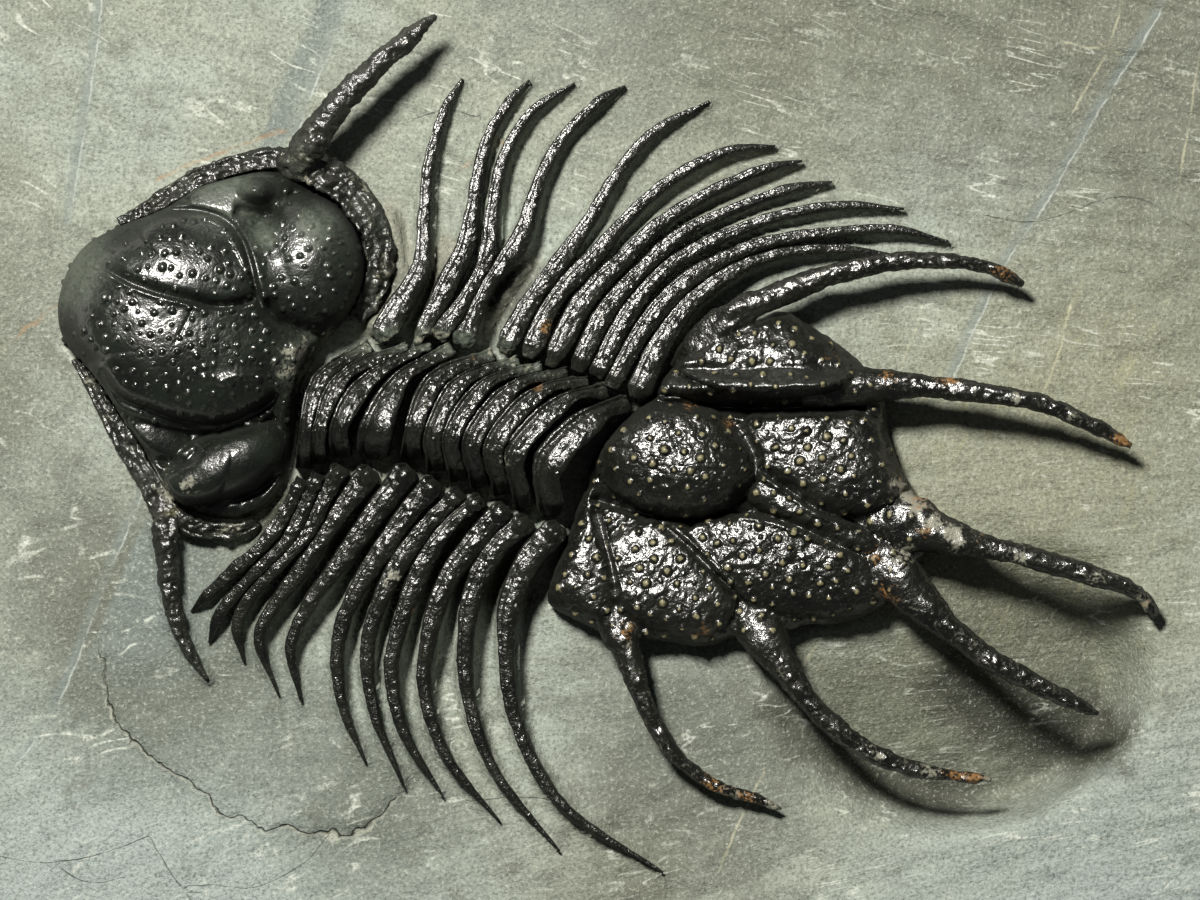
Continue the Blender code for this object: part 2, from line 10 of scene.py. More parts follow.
import bpy
import numpy as np
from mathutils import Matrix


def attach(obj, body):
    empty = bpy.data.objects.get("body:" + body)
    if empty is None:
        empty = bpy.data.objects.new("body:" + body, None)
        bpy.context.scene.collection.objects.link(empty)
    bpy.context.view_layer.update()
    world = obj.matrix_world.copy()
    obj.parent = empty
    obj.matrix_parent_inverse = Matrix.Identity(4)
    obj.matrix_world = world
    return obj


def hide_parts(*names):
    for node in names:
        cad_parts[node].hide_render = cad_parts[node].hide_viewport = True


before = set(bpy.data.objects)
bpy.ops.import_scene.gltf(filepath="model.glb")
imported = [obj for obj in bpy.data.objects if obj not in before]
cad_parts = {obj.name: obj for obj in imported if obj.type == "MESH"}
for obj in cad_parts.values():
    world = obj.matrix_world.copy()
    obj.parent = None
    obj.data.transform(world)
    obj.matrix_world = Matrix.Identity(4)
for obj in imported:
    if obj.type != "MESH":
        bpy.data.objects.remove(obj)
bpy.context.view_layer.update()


# Middle of the head shield: the swollen glabella, the lobes beside it and the left eye.
# It is calcite cuticle, smooth and grey-green where the air abrasive polished its top, with a painted
# grey-green sheen on its front and on its side lobe, and studded all over with small round tubercles that
# stand proud as beads.
MM = 0.001
ROCK_LEVEL = 18.0
CLEAR = 0.3
HEAD_CENTRE = (-26.3, 7.5)
HEAD_OUTLINE = [
    (-36.2, 9.3), (-35.7, 11.6), (-34.4, 13.6), (-32.2, 14.9), (-29.3, 16.0), (-27.9, 16.8), (-26.8, 17.5),
    (-24.4, 18.2), (-22.4, 18.6), (-20.8, 18.4), (-19.0, 17.3), (-17.2, 16.0), (-16.0, 14.0), (-15.7, 11.6),
    (-16.6, 9.3), (-18.2, 7.3), (-19.4, 5.6), (-20.1, 3.6), (-20.3, 1.6), (-20.6, -0.4), (-21.1, -2.2),
    (-22.1, -3.7), (-23.5, -4.5), (-25.1, -4.6), (-26.7, -4.3), (-28.2, -3.4), (-29.2, -1.9), (-30.1, -0.4),
    (-31.1, 1.1), (-32.3, 2.9), (-33.4, 4.5), (-34.6, 5.9), (-35.8, 7.4),
]
# (x, y, half length, half width, turn in degrees, height above the rock, fullness, and how
# much its top rises for each millimetre towards +X and towards +Y)
HEAD_LOBES = [
    (-27.6, 7.5, 8.6, 6.2, -14.0, 8.0, 0.38, -0.05, -0.05),
    (-27.4, 11.5, 8.4, 4.8, -8.0, 7.7, 0.42, 0.0, -0.08),
    (-29.6, 9.0, 7.4, 7.3, -14.0, 6.9, 0.42, 0.0, 0.0),
    (-19.5, 12.2, 4.1, 5.0, 0.0, 6.7, 0.42, 0.0, -0.05),
    (-20.0, 4.4, 2.2, 5.2, 12.0, 6.5, 0.42, 0.0, -0.05),
    (-24.7, -0.9, 4.8, 2.5, 24.0, 5.6, 0.45, 0.05, -0.08),
    (-27.6, -2.4, 2.6, 1.5, 20.0, 4.6, 0.45, 0.0, 0.0),
    (-30.2, 1.2, 3.6, 2.2, -42.0, 3.9, 0.5, 0.0, 0.0),
    (-22.9, 17.2, 1.4, 1.0, -8.0, 6.0, 0.6, 0.0, 0.0),
    (-24.6, 16.7, 4.2, 2.3, 14.0, 4.6, 0.3, 0.02, -0.40),
]
HEAD_FLOOR = 2.3
HEAD_BLEND = 1.1
# Furrows, and thin raised edges, as (line seen from above, depth at its start and at its end,
# half width to the left of the line and to the right of it)
HEAD_FURROWS = [
    ([(-33.4, 12.3), (-31.3, 11.15), (-29.3, 10.4), (-27.3, 9.9), (-25.7, 9.5), (-23.9, 9.6),
      (-22.6, 10.2)], 0.3, 1.4, 0.42, 0.11),
    ([(-31.6, 14.9), (-29.6, 15.75), (-26.9, 15.95), (-24.9, 15.3), (-23.8, 14.0), (-23.2, 12.3),
      (-22.7, 10.2), (-22.0, 8.6)], 0.7, 1.2, 0.2, 0.2),
    ([(-30.0, 16.3), (-28.6, 16.6), (-27.2, 16.6)], 0.8, 0.9, 0.3, 0.25),
    ([(-24.4, 15.9), (-22.8, 15.7), (-21.5, 15.5)], 1.0, 1.2, 0.5, 0.45),
    ([(-22.4, 9.9), (-21.5, 8.6), (-20.0, 8.0), (-18.4, 7.6)], 1.2, 0.9, 0.6, 0.3),
    ([(-17.3, 16.3), (-15.9, 14.0), (-15.8, 11.6), (-16.7, 9.4), (-17.3, 8.3)], 0.5, 0.5, 0.25, 0.25),
    ([(-33.2, 5.4), (-32.0, 3.6), (-30.0, 2.7), (-28.0, 2.0), (-25.3, 1.75), (-22.7, 2.7), (-21.3, 3.7)],
     0.9, 1.7, 0.3, 0.5),
    ([(-31.4, 0.5), (-29.4, -0.7), (-27.6, -0.8), (-26.6, 0.2)], 0.5, 0.9, 0.4, 0.3),
    ([(-28.2, -4.0), (-25.5, -3.4), (-22.9, -2.7), (-21.4, -1.2)], 0.8, 1.2, 0.3, 0.4),
    ([(-26.8, 9.7), (-27.8, 7.7), (-28.2, 7.0)], 0.10, 0.05, 0.1, 0.1),
]
HEAD_EDGES = [
    ([(-33.2, 12.0), (-31.3, 10.85), (-29.3, 10.1), (-27.3, 9.6), (-25.7, 9.2)], 0.1, 0.08, 0.1, 0.16),
    ([(-26.7, 15.55), (-25.2, 14.95), (-24.4, 14.0), (-23.8, 12.8), (-23.4, 12.0)], 0.2, 0.2, 0.1, 0.12),
    ([(-25.4, 4.4), (-24.0, 4.9), (-22.3, 4.8)], 0.35, 0.3, 0.35, 0.25),
    ([(-22.5, 8.5), (-20.9, 7.0)], 0.16, 0.14, 0.16, 0.16),
    ([(-20.3, 7.2), (-20.3, 5.0), (-20.7, 2.8)], 0.5, 0.3, 0.35, 0.3),
    ([(-26.8, -4.5), (-24.3, -4.4), (-22.0, -3.4)], 0.45, 0.45, 0.2, 0.2),
]
HEAD_CELLS = 240
# The edge of the plate: its rise above its underside and its sharpness, and what each gains
# where a cheek stands against it, at the round spots of (x, y, reach)
HEAD_RIM_RISE, HEAD_RIM_SHARPNESS = 0.5, 8
CHEEK_RIM_RISE, CHEEK_RIM_SHARPNESS = 1.2, 66
BESIDE_CHEEK = [(-25.5, 18.2, 6.5), (-15.5, 13.5, 5.5), (-31.0, 0.0, 6.5)]
# Skin that the air abrasive wore or left chalky, as round spots of (x, y, reach); the front and the side
# lobe carry a painted sheen, and the occipital crust is partly painted highlight
WORN_BAND = [(-25.0, 17.0, 3.6), (-22.3, 14.3, 1.5), (-19.0, 14.9, 2.0)]
OCCIPITAL_CRUST_AND_HIGHLIGHT = [(-19.8, 5.6, 2.6), (-18.7, 7.4, 1.8)]
SIDE_LOBE_SHEEN = [(-19.3, 12.9, 4.0)]
FRONT_SHEEN_CENTRE, FRONT_SHEEN_RADII = (-35.6, 12.6), (4.4, 5.2)
CHALKY_CORNER = [(-28.0, -2.6, 2.4)]
# Where small tubercles are thrown, how far apart and how large, and where none is kept: on low
# skin, on the far right, and on the band beside the eye
HEAD_BOX = (-36, -4), (-15, 18)
TUBERCLE_SPACING, LARGE_TUBERCLE_GAP, TUBERCLE_TRIES = 0.68, 0.58, 9000
TUBERCLE_RADII = (0.14, 0.27)
TUBERCLE_HEIGHT_SHARE = 0.68
LEAST_TUBERCLE_HEIGHT, LEAST_TUBERCLE_Y = 3.6, 1.8
BAND_CORNER = (-21, 15.4)
# A tubercle's roundness, and the groove round its foot as (depth, place, width), in shares of
# its height and its radius
BEAD_FULLNESS = 0.7
FOOT_GROOVE = (0.16, 1.2, 0.25)
# The share of a furrow's length over which it fades at either end
FURROW_FADE = 0.12
# Tubercles placed one by one, (x, y, radius), where they are large or stand apart
HEAD_LARGE_TUBERCLES = [
    (-32.9, 10.1, 0.42), (-34.3, 7.9, 0.36), (-29.0, 12.1, 0.30), (-28.1, 13.1, 0.27), (-30.6, 12.0, 0.26),
    (-31.2, 10.5, 0.22), (-29.5, 9.1, 0.24), (-27.0, 11.7, 0.26), (-26.6, 13.1, 0.22), (-29.8, 13.0, 0.22),
    (-25.5, 7.4, 0.24), (-26.3, 7.0, 0.23), (-24.0, 7.0, 0.23), (-25.5, 6.5, 0.22), (-24.7, 6.9, 0.2),
    (-28.0, 6.5, 0.22), (-29.0, 6.5, 0.22), (-26.7, 6.2, 0.21), (-25.6, 5.7, 0.21), (-26.8, 5.3, 0.2),
    (-23.7, 5.8, 0.2), (-24.4, 5.8, 0.2), (-25.6, 4.8, 0.2), (-21.5, 10.3, 0.24), (-22.3, 10.2, 0.22),
    (-20.3, 11.2, 0.26), (-18.9, 10.6, 0.24), (-20.6, 12.7, 0.23), (-19.3, 13.4, 0.23), (-17.9, 11.5, 0.23),
]


def linear(code):
    """An sRGB hex colour as the linear red, green, blue and alpha that shaders take."""
    channels = [int(code[k:k + 2], 16) / 255 for k in (1, 3, 5)]
    return tuple(c / 12.92 if c <= 0.04045 else ((c + 0.055) / 1.055) ** 2.4 for c in channels) + (1.0,)


def fill(node, inputs):
    """Set a node's inputs, by name or by place, and link those that another node's output feeds."""
    for name, value in inputs.items():
        if isinstance(name, str):
            socket = next(s for s in node.inputs if s.enabled and s.name == name)
        else:
            socket = node.inputs[name]
        if isinstance(value, bpy.types.NodeSocket):
            node.id_data.links.new(value, socket)
        else:
            socket.default_value = value


def add_node(material, kind, inputs, out=None, **settings):
    """Add one shader node, set or link its inputs, and give back one of its outputs."""
    node = material.node_tree.nodes.new("ShaderNode" + kind)
    for name, value in settings.items():
        setattr(node, name, value)
    fill(node, inputs)
    return next(s for s in node.outputs if s.enabled and out in (None, s.name))


def new_material(name, inputs):
    """A material with some inputs of its own shader set."""
    material = bpy.data.materials.new(name)
    material.use_nodes = True
    fill(material.node_tree.nodes["Principled BSDF"], inputs)
    return material


def grain(points, size, seed, octaves=1):
    """Smooth random heights between about -1 and 1, in lumps of one size in millimetres."""
    table = np.random.default_rng(seed).uniform(-1, 1, 8192)
    primes = np.array([73856093, 19349663, 83492791])[:points.shape[1]]
    total = np.zeros(len(points))
    for octave in range(octaves):
        spots = points / (size * 0.5**octave) + 17.3 * octave
        cells = np.floor(spots).astype(np.int64)
        parts = spots - cells
        parts = parts * parts * parts * (parts * (6 * parts - 15) + 10)
        for corner in itertools.product((0, 1), repeat=points.shape[1]):
            weight = np.prod(np.where(np.array(corner) == 1, parts, 1 - parts), axis=1)
            keys = np.bitwise_xor.reduce((cells + corner) * primes, axis=1)
            total += 0.5**octave * weight * table[keys % len(table)]
    return total


def smooth_route(stations, spans):
    """Points on a smooth curve through the stations, with so many spans between each two."""
    rows = np.array(stations, dtype=float)
    rows = np.vstack([2 * rows[0] - rows[1], rows, 2 * rows[-1] - rows[-2]])
    route = []
    for before, start, end, after in zip(rows, rows[1:], rows[2:], rows[3:]):
        lead, span, trail = (
            math.dist(a[:2], b[:2]) ** 0.5 for a, b in ((before, start), (start, end), (end, after)))
        leave = span * ((start - before) / lead - (end - before) / (lead + span) + (end - start) / span)
        reach = span * ((end - start) / span - (after - start) / (span + trail) + (after - end) / trail)
        for t in np.arange(spans) / spans:
            route.append(
                (2 * t**3 - 3 * t**2 + 1) * start + (t**3 - 2 * t**2 + t) * leave
                + (3 * t**2 - 2 * t**3) * end + (t**3 - t**2) * reach)
    route.append(rows[-2])
    return np.array(route)


def line_distance(xy, line):
    """Distance from each point to a smooth line, less than 0 on its right, and how far along, 0 to 1."""
    route = smooth_route(line, 5)
    nearest = np.full(len(xy), np.inf)
    along, side = np.zeros((2, len(xy)))
    for k, (start, end) in enumerate(zip(route, route[1:])):
        step = end - start
        t = np.clip(((xy - start) @ step) / (step @ step), 0, 1)
        offset = xy - start - t[:, None] * step
        away = np.linalg.norm(offset, axis=1)
        closer = away < nearest
        nearest[closer] = away[closer]
        along[closer] = (k + t[closer]) / (len(route) - 1)
        side[closer] = np.where(step[0] * offset[closer, 1] - step[1] * offset[closer, 0] > 0, 1, -1)
    return nearest * side, along


def crease(xy, lines):
    """Depth of the furrows, or height of the raised edges, at each point."""
    total = np.zeros(len(xy))
    for line, first, last, left, right in lines:
        away, along = line_distance(xy, line)
        fade = np.clip(np.minimum(along, 1 - along) / FURROW_FADE, 0, 1) ** 0.5
        depth = first + (last - first) * along
        total = np.maximum(total, depth * fade * np.exp(-((away / np.where(away > 0, left, right)) ** 2)))
    return total


def swell(xy, lobes, floor, blend):
    """Height of a floor raised by rounded lobes that meet in furrows."""
    height = np.full(len(xy), float(floor))
    for cx, cy, length, width, turn, top, fullness, *lean in lobes:
        angle = math.radians(turn)
        dx, dy = xy[:, 0] - cx, xy[:, 1] - cy
        u = (dx * math.cos(angle) + dy * math.sin(angle)) / length
        v = (dy * math.cos(angle) - dx * math.sin(angle)) / width
        crest = top + lean[0] * dx + lean[1] * dy
        rise = floor + (crest - floor) * np.clip(1 - u * u - v * v, 0, None) ** fullness
        near = np.clip(blend - np.abs(height - rise), 0, None)
        height = np.maximum(height, rise) + near * near / (4 * blend)
    return height


def stretched_grid(outline, centre, columns, rows):
    """A grid stretched to a closed outline: its points, how near the edge each is, its faces and rim."""
    looped = np.array([outline[-1]] + outline + outline[:2])
    fine = smooth_route(looped, 6)[6:-7] - centre
    ends = np.roll(fine, -1, axis=0)
    turns = np.linspace(-math.pi, math.pi, 1441)
    ways = np.stack([np.cos(turns), np.sin(turns)], axis=1)
    edges = ends - fine
    crosses = ways[:, :1] * edges[:, 1] - ways[:, 1:] * edges[:, 0]
    crosses = np.where(np.abs(crosses) < 1e-9, 1e-9, crosses)
    distances = (fine[:, 0] * edges[:, 1] - fine[:, 1] * edges[:, 0]) / crosses
    shares = (fine[:, 0] * ways[:, 1:] - fine[:, 1] * ways[:, :1]) / crosses
    hit = (distances > 0) & (shares >= -1e-6) & (shares <= 1 + 1e-6)
    reaches = np.where(hit, distances, 0).max(axis=1)

    i, j = np.meshgrid(np.arange(columns + 1), np.arange(rows + 1), indexing="ij")
    u, v = 2 * i / columns - 1, 2 * j / rows - 1
    share = np.maximum(abs(u), abs(v)).ravel()
    angle = np.arctan2(v * rows, u * columns).ravel()
    reach = np.interp(angle, turns, reaches) * share
    xy = np.stack([reach * np.cos(angle), reach * np.sin(angle)], axis=1) + centre
    index = (i * (rows + 1) + j).astype(int)
    corners = [index[:-1, :-1], index[1:, :-1], index[1:, 1:], index[:-1, 1:]]
    faces = np.stack(corners, axis=-1).reshape(-1, 4)
    rim = np.concatenate([index[:-1, 0], index[-1, :-1], index[:0:-1, -1], index[0, :0:-1]])
    return xy, share, faces.tolist(), rim


def close_below(points, faces, rim, levels):
    """Close a sheet with walls from its rim down through (share of the rim's size, height) rows."""
    middle = points[rim].mean(axis=0)
    above = rim
    for share, level in levels:
        loop = middle + (points[rim] - middle) * share
        loop[:, 2] = level
        below = np.arange(len(rim)) + len(points)
        points = np.vstack([points, loop])
        faces += np.stack([above, below, np.roll(below, -1), np.roll(above, -1)], axis=1).tolist()
        above = below
    middle[2] = levels[-1][1]
    points = np.vstack([points, middle])
    faces += [[b, a, len(points) - 1] for a, b in zip(above, np.roll(above, -1))]
    return points, faces


def make_mesh(name, points, faces):
    """Heights above the rock become a smooth-shaded object in the frame."""
    mesh = bpy.data.meshes.new(name)
    mesh.from_pydata(((points + (0, 0, ROCK_LEVEL)) * MM).tolist(), [], faces)
    mesh.shade_smooth()
    piece = bpy.data.objects.new(name, mesh)
    bpy.context.scene.collection.objects.link(piece)
    return piece


def surface_of(piece):
    """The points of a piece in millimetres above the rock, and the directions they face."""
    points, facing = np.empty((2, len(piece.data.vertices) * 3))
    piece.data.vertices.foreach_get("co", points)
    piece.data.vertex_normals.foreach_get("vector", facing)
    return points.reshape(-1, 3) / MM - (0, 0, ROCK_LEVEL), facing.reshape(-1, 3)


def put_surface(piece, points):
    """Move the points of a piece to new places, in millimetres above the rock."""
    piece.data.vertices.foreach_set("co", ((points + (0, 0, ROCK_LEVEL)) * MM).ravel())
    piece.data.update()


def paint(piece, name, values):
    """Keep a number for each point of a piece, for its material to read."""
    layer = piece.data.attributes.new(name, "FLOAT", "POINT")
    layer.data.foreach_set("value", np.ascontiguousarray(values, dtype=np.float32))


def nearness(points, place, reach):
    """1 at a place, falling to 0 at its reach."""
    return np.clip(1 - np.linalg.norm(points[:, :len(place)] - place, axis=1) / reach, 0, 1)


def spots(points, places):
    """Round spots added up at each point, each (x, y, reach) and its strength where that isn't 1."""
    return sum(
        math.prod(strength) * nearness(points, (x, y), reach) for x, y, reach, *strength in places)


def scatter(low, high, spacing, seed, tries, inside):
    """Places thrown at random in a box, none nearer to another than the spacing."""
    rng = np.random.default_rng(seed)
    thrown = rng.uniform(low, high, (tries, 2))
    thrown = thrown[inside(thrown)]
    kept = np.empty((0, 2))
    for place in thrown:
        if len(kept) == 0 or np.min(np.sum((kept - place) ** 2, axis=1)) > spacing**2:
            kept = np.vstack([kept, place])
    return kept


def beads(points, facing, places, radii, heights):
    """How far round beads push the surface out, and how near each point is to a bead's top."""
    push, tip = np.zeros(len(points)), np.zeros(len(points))
    upward = np.flatnonzero(facing[:, 2] > -0.1)
    for place, radius, height in zip(places, radii, heights):
        near = upward[np.all(np.abs(points[upward, :2] - place[:2]) < radius * 2.4, axis=1)]
        if len(near) == 0:
            continue
        if len(place) == 2:
            flat = np.linalg.norm(points[near, :2] - place, axis=1)
            base = points[near[np.argmin(flat)]]
        else:
            base = place
        share = np.linalg.norm(points[near] - base, axis=1) / radius
        rise = height * np.clip(1 - share**2, 0, None) ** BEAD_FULLNESS
        depth, foot, width = FOOT_GROOVE
        groove = depth * height * np.exp(-(((share - foot) / width) ** 2))
        push[near] = np.maximum(push[near], rise) - groove
        tip[near] = np.maximum(tip[near], np.clip(1 - share, 0, 1))
    return push, tip


def calcite_cuticle(name, dark, pale, roughness, grain_depth, film):
    """Calcite cuticle that the air abrasive cleaned, under a thin film of preparator's lacquer.

    The eye gets black skin with long white glints from the lacquer, duller and greyer with wear, painted
    sheen and painted highlight, and tan, chalky, healed or rusty. Its real grain is too fine to show, so it
    is drawn 0.13 and 0.22 mm wide.
    """
    material = new_material(name, {
        "IOR": 1.6, "Specular IOR Level": 0.3, "Coat Roughness": 0.18, "Coat IOR": 1.55})
    spot = add_node(material, "TexCoord", {}, "Object")
    clouds, blots, specks, fine = (
        add_node(material, "TexNoise", {
            "Vector": spot, "Scale": 1 / (size * MM), "Detail": detail, "Roughness": breakup})
        for size, detail, breakup in ((2.6, 4.0, 0.5), (0.8, 5.0, 0.7), (0.22, 3.0, 0.5), (0.13, 2.0, 0.5)))
    colour = linear(dark)
    for pattern, low, high, most, code in (
            (clouds, 0.38, 0.66, 1.0, pale), (specks, 0.6, 0.76, 0.3, "#4c4d42")):
        share = add_node(material, "MapRange", {"Value": pattern, 1: low, 2: high, 4: most})
        colour = add_node(
            material, "Mix", {"Factor": share, "A": colour, "B": linear(code)}, data_type="RGBA")
    matt = add_node(material, "MapRange", {"Value": clouds, 1: 0.3, 2: 0.7, 3: 0.0, 4: 0.15})
    sunk = add_node(material, "Attribute", {}, "Fac", attribute_name="sunk")
    matt = add_node(material, "Math", {0: matt, 1: sunk}, operation="MAXIMUM")
    ragged = add_node(material, "Math", {0: blots, 1: specks}, operation="ADD")
    ragged = add_node(material, "Math", {0: ragged, 1: 1.0}, operation="SUBTRACT")
    # Wear and painted sheen share the first, grey-green colour
    for mark, code, low, high, dulling in (
            ("worn", "#4b5148", -0.3, 1.0, 0.6), ("tip", "#6f6a4e", 0.3, 0.7, 0.7),
            ("chalk", "#77776a", 0.35, 0.75, 0.7), ("calcite", "#77766a", 0.35, 0.75, 0.45),
            ("rust", "#7a5a34", 0.4, 0.75, 0.6)):
        amount = add_node(material, "Attribute", {}, "Fac", attribute_name=mark)
        broken = add_node(material, "Math", {0: ragged, 1: 1.8, 2: amount}, operation="MULTIPLY_ADD")
        broken = add_node(material, "MapRange", {"Value": broken, 1: low, 2: high})
        amount = add_node(material, "Math", {0: amount, 1: 2.0}, operation="MULTIPLY", use_clamp=True)
        amount = add_node(material, "Math", {0: broken, 1: amount}, operation="MULTIPLY")
        colour = add_node(
            material, "Mix", {"Factor": amount, "A": colour, "B": linear(code)}, data_type="RGBA")
        matt = add_node(
            material, "Math", {0: amount, 1: dulling, 2: matt}, operation="MULTIPLY_ADD", use_clamp=True)
    rise = add_node(material, "Math", {0: specks, 1: 1.6, 2: fine}, operation="MULTIPLY_ADD")
    fill(material.node_tree.nodes["Principled BSDF"], {
        "Base Color": colour,
        "Roughness": add_node(material, "MapRange", {"Value": matt, 3: roughness, 4: 0.7}),
        "Coat Weight": add_node(material, "MapRange", {"Value": matt, 3: film, 4: 0.05}),
        "Normal": add_node(material, "Bump", {
            "Strength": 1.0, "Distance": grain_depth * MM, "Height": rise}),
        "Coat Normal": add_node(material, "Bump", {
            "Strength": 1.0, "Distance": 0.7 * grain_depth * MM, "Height": rise})})
    return material


def paint_marks(piece, **marks):
    """Keep how much wear and painted sheen, tan, chalk, healing or rust each point has, and how steep its
    skin.
    """
    _, facing = surface_of(piece)
    marks["sunk"] = np.clip((0.7 - facing[:, 2]) / 0.3, 0, 1)
    for name in ("worn", "tip", "chalk", "calcite", "rust", "sunk"):
        paint(piece, name, marks.get(name, np.zeros(len(facing))))


def finish_piece(piece, material, slot, *nodes):
    """Give the piece its material and its place in the frame, and hide the CAD nodes that it stands for."""
    piece.data.materials.clear()
    piece.data.materials.append(material)
    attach(piece, "root")
    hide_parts(*nodes)


def head_height(xy):
    """Height of the head shield's middle above the rock, before its edge and its grain."""
    height = swell(xy, HEAD_LOBES, HEAD_FLOOR, HEAD_BLEND)
    return height - crease(xy, HEAD_FURROWS) + crease(xy, HEAD_EDGES)


def roll_edge(height, share, rim_level, sharpness):
    """Bring a plate's height down to its rim over a rounded edge."""
    return rim_level + (height - rim_level) * (1 - share**sharpness) ** 0.5


xy, share, faces, rim = stretched_grid(HEAD_OUTLINE, HEAD_CENTRE, HEAD_CELLS, HEAD_CELLS)
beside_cheek = np.clip(1.8 * spots(xy, BESIDE_CHEEK), 0, 1)
height = roll_edge(
    head_height(xy), share, CLEAR + HEAD_RIM_RISE + CHEEK_RIM_RISE * beside_cheek,
    HEAD_RIM_SHARPNESS + CHEEK_RIM_SHARPNESS * beside_cheek)
height += 0.04 * grain(xy, 1.6, 11, 2) + 0.12 * grain(xy, 0.7, 12, 2) * (height < HEAD_FLOOR + 0.9)
points, faces = close_below(np.column_stack([xy, height]), faces, rim, [(1.0, CLEAR), (0.9, CLEAR - 0.25)])
head = make_mesh("head_shield", points, faces)
points, facing = surface_of(head)


def on_glabella(places):
    """Tubercles keep to the lobes and stay off the grey band beside the left eye."""
    height = swell(places, HEAD_LOBES, HEAD_FLOOR, HEAD_BLEND)
    furrow = crease(places, [(line, 1.0, 1.0, left, right) for line, _, _, left, right in HEAD_FURROWS])
    x, y = places.T
    smooth_band = (y > BAND_CORNER[1]) & (x < BAND_CORNER[0])
    return (height > LEAST_TUBERCLE_HEIGHT) & (furrow < 0.5) & ~smooth_band & (y > LEAST_TUBERCLE_Y)


large = np.array(HEAD_LARGE_TUBERCLES)
small = scatter(*HEAD_BOX, TUBERCLE_SPACING, 21, TUBERCLE_TRIES, on_glabella)
apart = np.linalg.norm(small[:, None] - large[None, :, :2], axis=2).min(axis=1)
small = small[apart > LARGE_TUBERCLE_GAP]
sizes = np.random.default_rng(22).uniform(*TUBERCLE_RADII, len(small))
places = np.vstack([large[:, :2], small])
radii = np.concatenate([large[:, 2], sizes])
push, tip = beads(points, facing, places, radii, radii * TUBERCLE_HEIGHT_SHARE)
rearward = np.clip((points[:, 0] + 27) / 3, 0, 1)
low_right = rearward * np.clip(np.minimum(11.5 - points[:, 1], points[:, 1]) / 2, 0, 1)
push += (0.01 + 0.012 * low_right) * grain(points, 0.32, 23, 2) + 0.014 * grain(points, 0.8, 24, 2)
put_surface(head, points + facing * push[:, None])
# The head's grey-green mark: painted sheen on the front and on top of the side lobe, painted highlight on the
# occipital crust, and real wear on the band beside the eye
from_front = np.linalg.norm((points[:, :2] - FRONT_SHEEN_CENTRE) / FRONT_SHEEN_RADII, axis=1)
front = np.clip(0.9 - from_front, 0, 1) * 1.6
occipital_crust_and_highlight = spots(points, OCCIPITAL_CRUST_AND_HIGHLIGHT)
worn = 0.8 * front + 0.8 * spots(points, WORN_BAND) + 0.6 * occipital_crust_and_highlight + 0.2 * spots(points, SIDE_LOBE_SHEEN)
paint_marks(
    head, tip=0.2 * tip, worn=np.clip(worn, 0, 0.9),
    chalk=np.clip(0.9 * spots(points, CHALKY_CORNER) + 1.1 * occipital_crust_and_highlight, 0, 0.9)
    * np.clip(0.6 + grain(points, 0.9, 25, 2), 0, 1))
head_cuticle = calcite_cuticle(
    "calcite cuticle, smooth and grey-green", "#0c0f0c", "#181d17", roughness=0.34, grain_depth=0.02,
    film=0.75)
finish_piece(head, head_cuticle, "head_shell", "cranidium")


# Free cheeks: the low crusty band round each side of the head shield, with the genal spine
# that grows from its corner. The left spine stands clear of the rock, the right one lies on
# it. The cuticle here is rougher, because the air abrasive left a film of limestone on it.
CHEEK_STEP = 0.1
# Each row is (x, y, height of the top, half width)
LEFT_RIM = [
    (-32.1, 15.25, 1.2, 0.25), (-30.3, 16.1, 1.7, 0.45), (-28.7, 17.05, 2.0, 0.62), (-27.0, 18.05, 2.3, 0.62),
    (-24.9, 18.85, 2.6, 0.66), (-23.2, 19.3, 2.8, 0.68), (-21.1, 19.4, 3.0, 0.8), (-18.8, 18.7, 3.0, 1.15),
    (-16.8, 17.3, 2.9, 1.15), (-15.3, 15.4, 2.8, 1.05), (-14.7, 13.7, 2.7, 0.95), (-14.65, 11.9, 2.5, 0.9),
    (-15.3, 10.2, 2.2, 0.75), (-16.3, 8.8, 1.8, 0.45),
]
LEFT_GENAL = [
    (-21.2, 17.9, 2.6, 0.9), (-20.4, 19.0, 4.0, 1.2), (-19.5, 20.2, 4.8, 1.15), (-18.3, 21.8, 5.2, 1.02),
    (-16.5, 23.9, 5.3, 0.88), (-14.2, 26.1, 5.0, 0.75), (-12.1, 27.9, 4.6, 0.55), (-10.9, 28.9, 4.1, 0.15),
]
RIGHT_RIM = [
    (-35.1, 6.1, 0.9, 0.25), (-34.0, 4.4, 1.1, 0.45), (-33.0, 2.7, 1.3, 0.6), (-31.8, 0.7, 1.5, 0.7),
    (-30.8, -1.0, 1.7, 0.75), (-29.9, -2.5, 1.9, 0.75), (-29.0, -4.1, 2.1, 0.85), (-27.4, -5.1, 2.0, 0.6),
    (-25.6, -5.45, 1.9, 0.5), (-24.0, -5.4, 1.8, 0.45), (-22.7, -4.8, 1.4, 0.25),
]
RIGHT_GENAL = [
    (-29.2, -3.2, 2.0, 0.8), (-29.0, -5.0, 2.7, 0.88), (-28.8, -8.0, 2.5, 0.75), (-28.5, -10.2, 2.2, 0.62),
    (-27.9, -12.3, 1.8, 0.5), (-27.1, -13.9, 1.4, 0.38), (-26.2, -15.3, 1.0, 0.12),
]
RIM_FULLNESS = 0.4
RIM_TILT = 0.45
# The ridge and the two grooves along the band, as (place across it, rise, width) in half widths
RIM_FOLDS = ((0.72, 0.12, 0.14), (0.3, -0.2, 0.18), (-0.45, -0.14, 0.16))
GENAL_JOINTS = {"left": (-20.3, 18.9, 3.6), "right": (-29.0, -3.9, 2.2)}
GENAL_JOINT_REACH, GENAL_JOINT_ROUNDS = 2.0, 24
CORNER_CHALK = [(-28.6, -2.4, 1.5)]
# Points over the top, down a side and round the underside of a bar
CREST_POINTS, WALL_POINTS, UNDER_POINTS = 23, 3, 7


